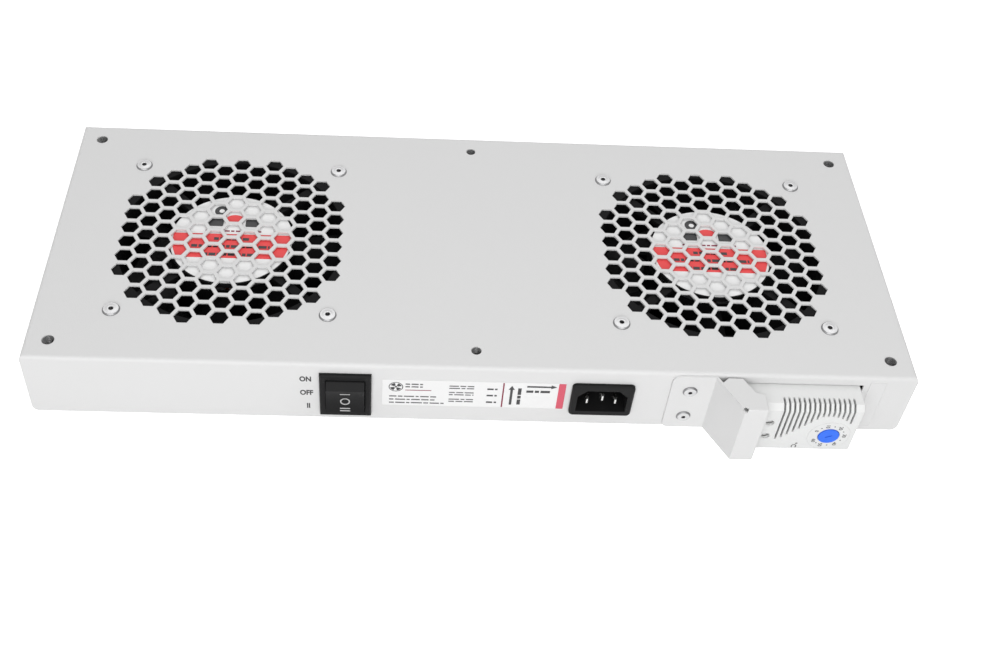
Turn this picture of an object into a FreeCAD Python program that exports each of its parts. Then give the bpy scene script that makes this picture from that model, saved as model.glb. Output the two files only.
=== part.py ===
import FreeCAD, Part
import math
import os
import re

import Sketcher
from FreeCAD import Vector

# Rack fan tray: a folded sheet tray with two mains fans, a rocker switch, a mains inlet and a thermostat.
# Millimetres. X runs along the tray, Y to its back and Z up. The origin is the centre of the six screw
# holes, on the outer face of the top plate, so the tray hangs below Z = 0 and its panel faces -Y.

doc = FreeCAD.newDocument("rack_fan_tray")
sheet = doc.addObject("Spreadsheet::Sheet", "Sizes")
workings = doc.addObject("Spreadsheet::Sheet", "Workings")
values = {}
parts = []


def size(alias, value):
    """Write one driving size into the next row of the sheet."""
    values[alias] = float(value)
    row = len(values)
    sheet.set("A%d" % row, alias)
    sheet.set("B%d" % row, str(value))
    sheet.setAlias("B%d" % row, alias)


# Tray: one folded sheet with four flanges
size("tray_length", 430.0)
size("tray_depth", 168.0)
size("tray_height", 40.0)
size("tray_wall", 1.0)
size("bend_inside", 1.0)
size("corner_slit", 0.6)
size("flange_round", 3.5)

# Screw holes and the nuts under them
size("mount_length", 407.0)
size("mount_depth", 145.2)
size("corner_thread", 6.0)
size("corner_nut_flats", 10.0)
size("corner_nut_height", 5.0)
size("edge_thread", 5.0)
size("edge_nut_flats", 8.0)
size("edge_nut_height", 4.0)

# Honeycomb grilles
size("hex_pitch", 10.1)
size("hex_flats", 8.2)

# Fans
size("fan_spacing", 250.0)
size("fan_size", 119.6)
size("fan_depth", 38.0)
size("fan_corner", 4.0)
size("fan_hole_pitch", 104.8)
size("fan_hole", 4.3)
size("fan_flange", 4.0)
size("duct_wall", 1.8)
size("ring_inset", 0.4)
size("label_diameter", 62.5)
size("label_thickness", 0.3)
size("label_depth", 0.6)
size("hub_rim", 0.75)
size("hub_plate", 2.5)
size("strut_width", 5.0)
size("strut_height", 3.2)
size("tube_wall", 1.5)
size("tube_length", 26.0)
size("bearing_diameter", 10.0)
size("bearing_length", 4.0)
size("shaft_diameter", 5.0)
size("shaft_fit", 0.03)
size("groove_depth", 0.45)
size("clip_rim", 1.7)
size("clip_thickness", 0.7)
size("running_gap", 0.3)
size("seat_gap", 0.05)

# Motor and rotor
size("impeller_diameter", 64.0)
size("impeller_wall", 1.9)
size("impeller_top", 7.5)
size("impeller_end", 1.5)
size("impeller_bevel", 1.5)
size("cup_wall", 1.3)
size("cup_lip", 1.0)
size("cup_boss", 12.0)
size("air_gap", 0.6)
size("core_height", 16.0)
size("core_drop", 5.0)
size("slot_bore", 14.0)
size("slot_radius", 18.0)
size("slot_mouth", 2.0)
size("coil_gap", 0.4)
size("coil_overhang", 2.0)
size("tip_gap", 1.2)
size("root_chord", 30.0)
size("root_stagger", 52.0)
size("tip_chord", 38.0)
size("tip_stagger", 32.0)
size("blade_camber", 4.0)
size("blade_thickness", 2.0)
size("blade_level", 21.5)
size("terminal_block", 12.0)
size("terminal_reach", 5.0)
size("fan_tab_width", 2.8)
size("fan_tab_thickness", 0.8)
size("fan_tab_length", 7.0)
size("fan_tab_spacing", 6.0)

# Blind rivets
size("rivet_shank", 4.0)
size("rivet_head", 8.7)
size("rivet_head_height", 1.1)
size("rivet_recess", 2.6)
size("rivet_sink", 1.6)
size("rivet_bulb", 6.4)
size("rivet_tail", 4.0)
size("guard_rivet_head", 7.2)
size("guard_rivet_shank", 3.2)
size("guard_rivet_bulb", 5.2)

# Rocker switch in the panel
size("switch_x", -62.5)
size("switch_z", -21.0)
size("switch_width", 25.0)
size("switch_height", 30.4)
size("bezel_depth", 2.0)
size("bezel_chamfer", 0.6)
size("switch_cut_width", 22.0)
size("switch_cut_height", 28.4)
size("cut_clearance", 0.2)
size("switch_depth", 15.0)
size("rocker_width", 18.5)
size("rocker_gap", 0.35)
size("rocker_radius", 11.75)
size("rocker_pad", 8.1)
size("rocker_proud", 3.4)
size("rocker_dish", 38.0)
size("rocker_back", 5.0)
size("pivot_depth", 1.0)
size("pivot_diameter", 2.5)
size("pivot_length", 0.9)
size("rocker_floor", 8.6)
size("switch_tab_width", 4.8)
size("switch_tab_thickness", 0.8)
size("switch_tab_length", 7.5)
size("switch_tab_rows", 10.0)
size("switch_tab_columns", 13.0)

# Mains inlet in the panel
size("inlet_x", 62.4)
size("inlet_z", -20.2)
size("inlet_width", 30.6)
size("inlet_height", 22.8)
size("inlet_round", 2.2)
size("inlet_cut_width", 27.4)
size("inlet_cut_height", 19.6)
size("inlet_depth", 17.0)
size("socket_width", 24.5)
size("socket_height", 15.6)
size("socket_slant", 4.4)
size("socket_floor", 14.5)
size("pin_width", 2.0)
size("pin_height", 4.0)
size("pin_spacing", 14.0)
size("pin_offset", 2.0)
size("pin_start", -0.3)
size("earth_start", -1.7)
size("inlet_tab_width", 6.3)
size("inlet_tab_thickness", 0.8)
size("inlet_tab_length", 6.0)

# Thermostat: it lies on its side, half through the panel
size("thermostat_x", 157.0)
size("thermostat_z", -22.1)
size("thermostat_length", 60.0)
size("thermostat_height", 32.8)
size("thermostat_reach", 14.3)
size("cover_depth", 32.3)
size("cover_wall", 1.6)
size("cover_chamfer", 2.8)
size("cover_edge", 0.8)
size("vent_first", -8.8)
size("vent_pitch", 2.44)
size("vent_width", 1.0)
size("vent_top", 6.4)
size("vent_rise", -0.9)
size("vent_floor", -8.5)
size("vent_ring", 15.1)
size("vent_ring_x", 14.0)
size("dial_x", 17.1)
size("dial_z", -5.2)
size("dial_diameter", 10.3)
size("dial_gap", 0.25)
size("dial_head", 2.2)
size("dial_proud", 0.4)
size("dial_stem", 5.0)
size("dial_boss", 13.0)
size("boss_length", 2.6)
size("dial_slot_length", 3.6)
size("dial_slot_width", 0.7)
size("dial_slot_depth", 0.8)
size("dial_mark", 20.0)
size("screw_x", -14.0)
size("screw_upper", 4.0)
size("screw_lower", -6.3)
size("screw_access", 4.2)
size("screw_head", 4.6)
size("screw_head_height", 2.0)
size("clamp_width", 7.0)
size("clamp_height", 6.6)
size("clamp_depth", 4.0)
size("wire_entry", 4.0)
size("base_thickness", 2.5)
size("block_left", -26.0)
size("block_right", -8.0)
size("block_half", 12.0)
size("block_front", 2.0)
size("post_width", 6.0)
size("post_front", -2.0)
size("strip_length", 27.0)
size("strip_width", 5.0)
size("strip_thickness", 0.6)
size("hook_arm", 2.6)
size("hook_lip", 3.0)
size("hook_height", 24.0)
size("hook_gap", 0.2)
size("lip_thickness", 1.2)

# Rail tongue that carries the thermostat
size("rail_width", 35.0)
size("rail_wall", 1.0)
size("rail_bend", 1.0)
size("rail_drop", 36.0)
size("rail_foot", 13.0)

# Cut-out for the thermostat and the guard over its terminals
size("notch_left", 119.0)
size("notch_right", 189.0)
size("notch_top", -5.3)
size("guard_left", 95.0)
size("guard_bend", 115.7)
size("guard_run", 10.8)
size("guard_reach", 19.3)
size("guard_end", 137.6)
size("guard_top", -1.0)
size("guard_wall", 1.0)
size("guard_upper_round", 4.0)
size("guard_lower_round", 3.0)
size("guard_edge", 0.7)
size("guard_hole", 2.4)
size("flap_notch", 9.9)
size("flap_step", 4.4)
size("flap_rear", 6.8)
size("flap_relief", 3.4)
size("guard_rivet_x", 104.6)
size("guard_rivet_upper", -12.0)
size("guard_rivet_lower", -31.1)
doc.recompute()

# Honeycomb columns: how far each one reaches from the middle row, in pitches, from the centre outwards
COLUMN_REACH = [5.5, 5, 5.5, 5, 4.5, 4, 2.5]
BLADES = 7
STRUTS = 4
CORE_SLOTS = 4
VENTS = 15
STRAIGHT_VENTS = 8

# Levels and faces that several pieces share, as formulas of the sizes
PANEL = "(-tray_depth / 2)"
FOLD = "(bend_inside + tray_wall)"
FAN_TOP = "(-tray_wall)"
FAN_BOTTOM = "(-tray_wall - fan_depth)"
DUCT = "(fan_size - 2 * duct_wall)"
HUB_TOP = "(-tray_wall - label_depth - label_thickness)"
HUB_BOTTOM = "(-tray_wall - label_depth - label_thickness - hub_plate)"
HUB_DIAMETER = "(label_diameter + 2 * hub_rim)"
TUBE_END = "(-tray_wall - label_depth - label_thickness - hub_plate - tube_length)"
TUBE_DIAMETER = "(bearing_diameter + 2 * tube_wall)"
IMPELLER_TOP = "(-tray_wall - impeller_top)"
IMPELLER_END = "(-tray_wall - fan_depth + impeller_end)"
CUP_DIAMETER = "(impeller_diameter - 2 * impeller_wall - 2 * seat_gap)"
CUP_END = "(-tray_wall - fan_depth + impeller_end + impeller_wall + seat_gap)"
CORE_DIAMETER = "(impeller_diameter - 2 * impeller_wall - 2 * seat_gap - 2 * cup_wall - 2 * air_gap)"
CORE_TOP = "(-tray_wall - label_depth - label_thickness - hub_plate - core_drop)"
CORE_END = "(-tray_wall - label_depth - label_thickness - hub_plate - core_drop - core_height)"
COVER_FRONT = "(-thermostat_reach)"
COVER_BACK = "(cover_depth - thermostat_reach)"
BASE_BACK = "(cover_depth - thermostat_reach + base_thickness)"
GUARD_SHIFT = "(guard_wall * (sqrt(guard_run ^ 2 + guard_reach ^ 2) - guard_run) / guard_reach)"
GUARD_FRONT = "(-tray_depth / 2 - guard_wall - guard_reach)"

NORMAL = {"XY_Plane": 1, "XZ_Plane": -1, "YZ_Plane": 1}
NEAR = 1e-4


def formula(text):
    """Point each size named in a formula at its cell of the sheet."""
    return re.sub(r"[a-z_]+", lambda word: "Sizes." + word[0] if word[0] in values else word[0], text)


def reckon(text):
    """Work a formula out in the cell of the second sheet, which nothing else reads."""
    workings.set("A1", "=" + formula(text))
    workings.recompute()
    return float(workings.get("A1"))


def new_body(label, x="0", y="0", z="0"):
    """Start a sub-part whose own origin stands at x, y, z."""
    body = doc.addObject("PartDesign::Body", label)
    body.Label = label
    for axis, text in (("x", x), ("y", y), ("z", z)):
        body.setExpression("Placement.Base." + axis, formula(text))
    parts.append(body)
    return body


def origin(body, role):
    """Find one of a body's own planes or axes."""
    return next(item for item in body.Origin.OriginFeatures if item.Role == role)


def sketch_on(body, plane, level, shapes):
    """Draw shapes on one of the body's planes, at a level along the axis across that plane."""
    sketch = body.newObject("Sketcher::SketchObject", body.Label + "_sketch")
    sketch.AttachmentSupport = [(origin(body, plane), "")]
    sketch.MapMode = "FlatFace"
    sign = "" if NORMAL[plane] > 0 else "-1 * "
    sketch.setExpression("AttachmentOffset.Base.z", formula("%s(%s)" % (sign, level)))
    for shape in shapes:
        shape(sketch)
    return sketch


def pin(sketch, curve, point, x, y):
    """Hold one point of a curve at x, y, both given as formulas."""
    for kind, text in (("DistanceX", x), ("DistanceY", y)):
        number = sketch.addConstraint(Sketcher.Constraint(kind, -1, 1, curve, point, reckon(text)))
        sketch.setExpression("Constraints[%d]" % number, formula(text))


def disc(x, y, diameter):
    """A circle about x, y."""
    def draw(sketch):
        centre = Vector(reckon(x), reckon(y), 0)
        curve = sketch.addGeometry(Part.Circle(centre, Vector(0, 0, 1), reckon(diameter) / 2), False)
        pin(sketch, curve, 3, x, y)
        number = sketch.addConstraint(Sketcher.Constraint("Diameter", curve, reckon(diameter)))
        sketch.setExpression("Constraints[%d]" % number, formula(diameter))
    return draw


def outline(*corners):
    """A closed outline. Each corner is (x, y), or (x, y, radius) where an arc leads on to the next one.
    A positive radius turns to the left and a negative one to the right."""
    def draw(sketch):
        points = [Vector(reckon(corner[0]), reckon(corner[1]), 0) for corner in corners]
        ends = []
        for index, corner in enumerate(corners):
            start = points[index]
            end = points[(index + 1) % len(points)]
            if len(corner) == 2:
                curve = sketch.addGeometry(Part.LineSegment(start, end), False)
                ends.append((curve, 1, 2))
                continue
            radius = reckon(corner[2])
            half = (end - start) * 0.5
            side = Vector(-half.y, half.x, 0).normalize() * math.copysign(1.0, radius)
            centre = start + half + side * math.sqrt(radius ** 2 - half.Length ** 2)
            first, last = (start, end) if radius > 0 else (end, start)
            angles = [math.atan2(point.y - centre.y, point.x - centre.x) for point in (first, last)]
            circle = Part.Circle(centre, Vector(0, 0, 1), abs(radius))
            if angles[1] < angles[0]:
                angles[1] += 2 * math.pi
            curve = sketch.addGeometry(Part.ArcOfCircle(circle, *angles), False)
            number = sketch.addConstraint(Sketcher.Constraint("Radius", curve, abs(radius)))
            sketch.setExpression("Constraints[%d]" % number, formula("abs(%s)" % corner[2]))
            ends.append((curve, 1, 2) if radius > 0 else (curve, 2, 1))
        for index, corner in enumerate(corners):
            curve, start, end = ends[index]
            following = ends[(index + 1) % len(ends)]
            sketch.addConstraint(Sketcher.Constraint("Coincident", curve, end, following[0], following[1]))
            pin(sketch, curve, start, corner[0], corner[1])
    return draw


def block(x0, y0, x1, y1):
    """A rectangle between two opposite corners."""
    return outline((x0, y0), (x1, y0), (x1, y1), (x0, y1))


def middle_block(x, y, width, height):
    """A rectangle about x, y."""
    left, right = ("(%s) %s (%s) / 2" % (x, sign, width) for sign in "-+")
    low, high = ("(%s) %s (%s) / 2" % (y, sign, height) for sign in "-+")
    return block(left, low, right, high)


def hexagon(x, y, flats):
    """A hexagon about x, y with two of its sides facing along the sketch's second axis."""
    corner = "(%s) / sqrt(3)" % flats
    half = "(%s) / 2" % flats
    spots = ((1, "", "0"), (0.5, "+", half), (-0.5, "+", half), (-1, "", "0"), (-0.5, "-", half), (0.5, "-", half))
    return outline(*[("%s + %s * %s" % (x, share, corner), "%s %s %s" % (y, sign or "+", rise))
                     for share, sign, rise in spots])


def spoke(inner, outer, width, turn="45"):
    """A bar that runs outwards from the origin at an angle, between two radii."""
    def corner(radius, side):
        x = "(%s) * cos(%s) - (%s) * sin(%s)" % (radius, turn, side, turn)
        y = "(%s) * sin(%s) + (%s) * cos(%s)" % (radius, turn, side, turn)
        return x, y
    low = "-(%s) / 2" % width
    high = "(%s) / 2" % width
    return outline(corner(inner, low), corner(outer, low), corner(outer, high), corner(inner, high))


def extrude(kind, body, plane, low, high, shapes):
    """Pad or pocket shapes between two levels along the axis across their plane."""
    feature = body.newObject(kind, body.Label + "_" + kind.split("::")[1].lower())
    feature.Profile = sketch_on(body, plane, low, shapes)
    feature.Reversed = NORMAL[plane] < 0 if kind.endswith("Pad") else NORMAL[plane] > 0
    feature.setExpression("Length", formula("(%s) - (%s)" % (high, low)))
    return feature


def add(body, plane, low, high, *shapes):
    """Add solid between two levels."""
    return extrude("PartDesign::Pad", body, plane, low, high, shapes)


def cut(body, plane, low, high, *shapes):
    """Take solid away between two levels."""
    return extrude("PartDesign::Pocket", body, plane, low, high, shapes)


def revolve(body, plane, axis, shape, kind="PartDesign::Revolution"):
    """Turn a shape, as solid or as a groove, about one of the body's axes."""
    feature = body.newObject(kind, body.Label + "_turned")
    feature.Profile = sketch_on(body, plane, "0", [shape])
    feature.ReferenceAxis = (origin(body, axis), [""])
    feature.Angle = 360.0
    return feature


def row(body, axis, length, count):
    """One step of a repeat: a row of copies along an axis."""
    step = doc.addObject("PartDesign::LinearPattern", body.Label + "_row")
    step.Direction = (origin(body, axis), [""])
    step.setExpression("Length", formula(length))
    step.Occurrences = count
    return step


def mirror(body, plane):
    """One step of a repeat: a mirrored copy."""
    step = doc.addObject("PartDesign::Mirrored", body.Label + "_mirror")
    step.MirrorPlane = (origin(body, plane), [""])
    return step


def repeat(body, feature, *steps):
    """Repeat a feature by rows and mirrors, one after the other."""
    copies = body.newObject("PartDesign::MultiTransform", body.Label + "_copies")
    copies.Originals = [feature]
    copies.Transformations = list(steps)
    body.Tip = copies


def ring_of(body, feature, count):
    """Repeat a feature round the body's Z axis."""
    copies = body.newObject("PartDesign::PolarPattern", body.Label + "_ring")
    copies.Originals = [feature]
    copies.Axis = (origin(body, "Z_Axis"), [""])
    copies.Angle = 360.0
    copies.Occurrences = count
    body.Tip = copies


def dress(kind, body, radius, wanted):
    """Fillet or chamfer the edges that a test picks from the body's last feature."""
    doc.recompute()
    base = body.Tip
    names = ["Edge%d" % (index + 1) for index, edge in enumerate(base.Shape.Edges) if wanted(edge)]
    feature = body.newObject(kind, body.Label + "_" + kind.split("::")[1].lower())
    feature.Base = (base, names)
    feature.setExpression("Radius" if kind.endswith("Fillet") else "Size", formula(radius))
    return feature


def straight(edge, axis):
    """Tell whether an edge is a straight line along an axis."""
    spans = {"x": edge.BoundBox.XLength, "y": edge.BoundBox.YLength, "z": edge.BoundBox.ZLength}
    along = spans.pop(axis)
    return along > NEAR and max(spans.values()) < NEAR


def at_level(edge, axis, level):
    """Tell whether an edge lies wholly at one level of an axis."""
    low, high = {"x": (edge.BoundBox.XMin, edge.BoundBox.XMax), "y": (edge.BoundBox.YMin, edge.BoundBox.YMax),
                 "z": (edge.BoundBox.ZMin, edge.BoundBox.ZMax)}[axis]
    return abs(low - level) < NEAR and abs(high - level) < NEAR


def folded_sheet():
    """The folded sheet with its round holes and the cut-outs in its panel."""
    body = new_body("folded_sheet")
    add(body, "XY_Plane", "-tray_height", "0", middle_block("0", "0", "tray_length", "tray_depth"))
    dress("PartDesign::Fillet", body, FOLD, lambda edge: at_level(edge, "z", 0))
    cut(body, "XY_Plane", "-tray_height", "-tray_wall",
        middle_block("0", "0", "tray_length - 2 * tray_wall", "tray_depth - 2 * tray_wall"))
    dress("PartDesign::Fillet", body, "bend_inside", lambda edge: at_level(edge, "z", -values["tray_wall"]))

    slit = cut(body, "XY_Plane", "-tray_height", "-%s - corner_slit" % FOLD,
               block("tray_length / 2 - 2 * tray_wall", "tray_depth / 2 - %s - corner_slit" % FOLD,
                     "tray_length / 2 + tray_wall", "tray_depth / 2 - %s" % FOLD))
    repeat(body, slit, mirror(body, "YZ_Plane"), mirror(body, "XZ_Plane"))
    rounding = outline(("tray_length / 2", "-tray_height"),
                       ("tray_length / 2", "flange_round - tray_height", "-flange_round"),
                       ("tray_length / 2 - flange_round", "-tray_height"))
    rounded = cut(body, "XZ_Plane", "tray_depth / 2 - %s" % FOLD, "tray_depth / 2", rounding)
    repeat(body, rounded, mirror(body, "YZ_Plane"), mirror(body, "XZ_Plane"))

    half = "fan_hole_pitch / 2"
    rivet_holes = [disc("%s * fan_spacing / 2 + %s * %s" % (side, across, half), "%s * %s" % (along, half),
                        "rivet_shank + 2 * seat_gap")
                   for side in (-1, 1) for across in (-1, 1) for along in (-1, 1)]
    corner_holes = [disc("%s * mount_length / 2" % across, "%s * mount_depth / 2" % along, "corner_thread")
                    for across in (-1, 1) for along in (-1, 1)]
    edge_holes = [disc("0", "%s * mount_depth / 2" % along, "edge_thread") for along in (-1, 1)]
    cut(body, "XY_Plane", "-tray_wall", "0", *rivet_holes, *corner_holes, *edge_holes)

    cut(body, "XZ_Plane", PANEL, "%s + tray_wall" % PANEL,
        middle_block("switch_x", "switch_z", "switch_cut_width", "switch_cut_height"),
        middle_block("inlet_x", "inlet_z", "inlet_cut_width", "inlet_cut_height"),
        disc("guard_rivet_x", "guard_rivet_upper", "guard_rivet_shank + 2 * seat_gap"),
        disc("guard_rivet_x", "guard_rivet_lower", "guard_rivet_shank + 2 * seat_gap"))
    cut(body, "XZ_Plane", PANEL, "%s + tray_wall" % PANEL,
        block("notch_left", "-tray_height", "notch_right", "notch_top"))
    return body


def grille_cells():
    """The hexagons to punch out over both fans, as one group of prisms."""
    cells = []
    for side in (-1, 1):
        for column in range(1 - len(COLUMN_REACH), len(COLUMN_REACH)):
            reach = COLUMN_REACH[abs(column)]
            across = "%d * fan_spacing / 2 + %d * hex_pitch * sqrt(3) / 2" % (side, column)
            for step in range(int(2 * reach) + 1):
                cell = doc.addObject("Part::Prism", "grille_cell")
                cell.Polygon = 6
                cell.setExpression("Circumradius", formula("hex_flats / sqrt(3)"))
                cell.setExpression("Height", formula("3 * tray_wall"))
                cell.setExpression("Placement.Base.x", formula(across))
                cell.setExpression("Placement.Base.y", formula("%s * hex_pitch" % (step - reach)))
                cell.setExpression("Placement.Base.z", formula("-2 * tray_wall"))
                cells.append(cell)
    group = doc.addObject("Part::Compound", "grille_cells")
    group.Links = cells
    return group


def tray():
    """The folded sheet with a honeycomb grille punched over each fan."""
    flat = folded_sheet()
    parts.remove(flat)
    punched = doc.addObject("Part::Cut", "tray")
    punched.Base = flat
    punched.Tool = grille_cells()
    punched.Refine = False
    parts.append(punched)


def nuts(label, thread, flats, height, spread):
    """Welded nuts under the screw holes, one at each corner or one at the middle of each long edge."""
    body = new_body(label)
    columns = ("-mount_length / 2", "mount_length / 2") if spread else ("0",)
    places = [(x, y) for x in columns for y in ("-mount_depth / 2", "mount_depth / 2")]
    shapes = [hexagon(x, y, flats) for x, y in places] + [disc(x, y, thread) for x, y in places]
    add(body, "XY_Plane", "-tray_wall - %s" % height, "-tray_wall", *shapes)


def rivet_profile(shank, head, bulb, grip, out=1):
    """Half of a set blind rivet: a round head with a recess, a shank and a bulb behind the grip.
    The head faces the positive way of the axis, or the negative one where out is -1."""
    def spot(radius, along):
        return radius, "%d * (%s)" % (out, along)
    recess = "rivet_recess / 2"
    return outline(spot("0", "rivet_head_height - rivet_sink"), spot(recess, "rivet_head_height - rivet_sink"),
                   spot(recess, "rivet_head_height"), spot("%s / 2" % head, "rivet_head_height"),
                   spot("%s / 2" % head, "0"),
                   spot("%s / 2" % shank, "0"), spot("%s / 2" % shank, "-(%s)" % grip),
                   spot("%s / 2" % bulb, "-(%s)" % grip), spot("%s / 2" % bulb, "-(%s) - rivet_tail" % grip),
                   spot("0", "-(%s) - rivet_tail" % grip))


def fan_rivets():
    """Eight rivets that clamp the fans' upper flanges under the plate."""
    body = new_body("fan_rivets", "-fan_spacing / 2 - fan_hole_pitch / 2", "-fan_hole_pitch / 2")
    first = revolve(body, "XZ_Plane", "Z_Axis",
                    rivet_profile("rivet_shank", "rivet_head", "rivet_bulb", "tray_wall + fan_flange"))
    repeat(body, first, row(body, "X_Axis", "fan_hole_pitch", 2), row(body, "X_Axis", "fan_spacing", 2),
           row(body, "Y_Axis", "fan_hole_pitch", 2))


def guard_rivets():
    """Two rivets that hold the guard's flange on the panel, with their heads to the front."""
    body = new_body("guard_rivets", "guard_rivet_x", "%s - guard_wall" % PANEL, "guard_rivet_lower")
    first = revolve(body, "XY_Plane", "Y_Axis",
                    rivet_profile("guard_rivet_shank", "guard_rivet_head", "guard_rivet_bulb",
                                  "guard_wall + tray_wall", -1))
    repeat(body, first, row(body, "Z_Axis", "guard_rivet_upper - guard_rivet_lower", 2))


def fan_frame(side, place):
    """Square housing with a round duct, four struts, the motor's plate and its bearing tube."""
    body = new_body("fan_%s_frame" % side, place)
    add(body, "XY_Plane", FAN_BOTTOM, FAN_TOP, disc("0", "0", "fan_size - 2 * ring_inset"), disc("0", "0", DUCT))
    for low, high in ((FAN_BOTTOM, FAN_BOTTOM + " + fan_flange"), (FAN_TOP + " - fan_flange", FAN_TOP)):
        add(body, "XY_Plane", low, high, middle_block("0", "0", "fan_size", "fan_size"), disc("0", "0", DUCT))
    reach = values["fan_size"] / 2
    dress("PartDesign::Fillet", body, "fan_corner",
          lambda edge: straight(edge, "z") and abs(abs(edge.BoundBox.XMin) - reach) < NEAR
          and abs(abs(edge.BoundBox.YMin) - reach) < NEAR)
    cut(body, "XY_Plane", FAN_BOTTOM, FAN_TOP,
        *[disc("%d * fan_hole_pitch / 2" % x, "%d * fan_hole_pitch / 2" % y, "fan_hole")
          for x in (-1, 1) for y in (-1, 1)])
    strut = add(body, "XY_Plane", HUB_TOP + " - strut_height", HUB_TOP,
                spoke("label_diameter / 2 - strut_width", DUCT + " / 2 + duct_wall / 2", "strut_width"))
    ring_of(body, strut, STRUTS)
    add(body, "XY_Plane", HUB_BOTTOM, HUB_TOP, disc("0", "0", HUB_DIAMETER))
    add(body, "XY_Plane", TUBE_END, HUB_BOTTOM, disc("0", "0", TUBE_DIAMETER))
    cut(body, "XY_Plane", TUBE_END, HUB_TOP, disc("0", "0", "bearing_diameter"))
    add(body, "XY_Plane", "-tray_wall - fan_depth / 2 - terminal_block / 2",
        "-tray_wall - fan_depth / 2 + terminal_block / 2",
        spoke(DUCT + " / 2 + duct_wall / 2", "fan_size / 2 + terminal_reach", "terminal_block", "225"))


def fan_fixed(side, place):
    """Everything that stands still inside a fan: core, windings, bearings, label and terminals."""
    core = new_body("fan_%s_stator" % side, place)
    add(core, "XY_Plane", CORE_END, CORE_TOP, disc("0", "0", CORE_DIAMETER),
        disc("0", "0", TUBE_DIAMETER + " + 2 * seat_gap"))
    opening = cut(core, "XY_Plane", CORE_END, CORE_TOP, disc("slot_radius", "0", "slot_bore"))
    ring_of(core, opening, CORE_SLOTS)
    mouth = cut(core, "XY_Plane", CORE_END, CORE_TOP,
                block("slot_radius", "-slot_mouth / 2", CORE_DIAMETER + " / 2 + 1", "slot_mouth / 2"))
    ring_of(core, mouth, CORE_SLOTS)

    coils = new_body("fan_%s_coils" % side, place)
    coil = add(coils, "XY_Plane", CORE_END + " - coil_overhang", CORE_TOP + " + coil_overhang",
               disc("slot_radius", "0", "slot_bore - 2 * coil_gap"))
    ring_of(coils, coil, CORE_SLOTS)

    bearings = new_body("fan_%s_bearings" % side, place)
    bore = disc("0", "0", "shaft_diameter + 2 * shaft_fit")
    add(bearings, "XY_Plane", TUBE_END, TUBE_END + " + bearing_length", disc("0", "0", "bearing_diameter"), bore)
    add(bearings, "XY_Plane", HUB_BOTTOM + " - bearing_length", HUB_BOTTOM, disc("0", "0", "bearing_diameter"),
        bore)

    label = new_body("fan_%s_label" % side, place)
    add(label, "XY_Plane", HUB_TOP, HUB_TOP + " + label_thickness", disc("0", "0", "label_diameter"))

    tabs = new_body("fan_%s_terminals" % side, place)
    for sign in "-+":
        middle = "-tray_wall - fan_depth / 2 %s fan_tab_spacing / 2" % sign
        add(tabs, "XY_Plane", middle + " - fan_tab_thickness / 2", middle + " + fan_tab_thickness / 2",
            spoke("fan_size / 2 + terminal_reach", "fan_size / 2 + terminal_reach + fan_tab_length",
                  "fan_tab_width", "225"))


def blade_section(chord, stagger):
    """A cambered blade section about the axis through the blade, from its two arcs."""
    along = "%s / 2 * cos(%s)" % (chord, stagger)
    up = "%s / 2 * sin(%s)" % (chord, stagger)

    def bend(rise):
        return "((%s / 2) ^ 2 + (%s) ^ 2) / (2 * (%s))" % (chord, rise, rise)
    outer = bend("blade_camber + blade_thickness / 2")
    inner = bend("blade_camber - blade_thickness / 2")
    return outline(("-(%s)" % along, "-blade_level - %s" % up, "-(%s)" % outer),
                   (along, "-blade_level + %s" % up, inner))


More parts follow.
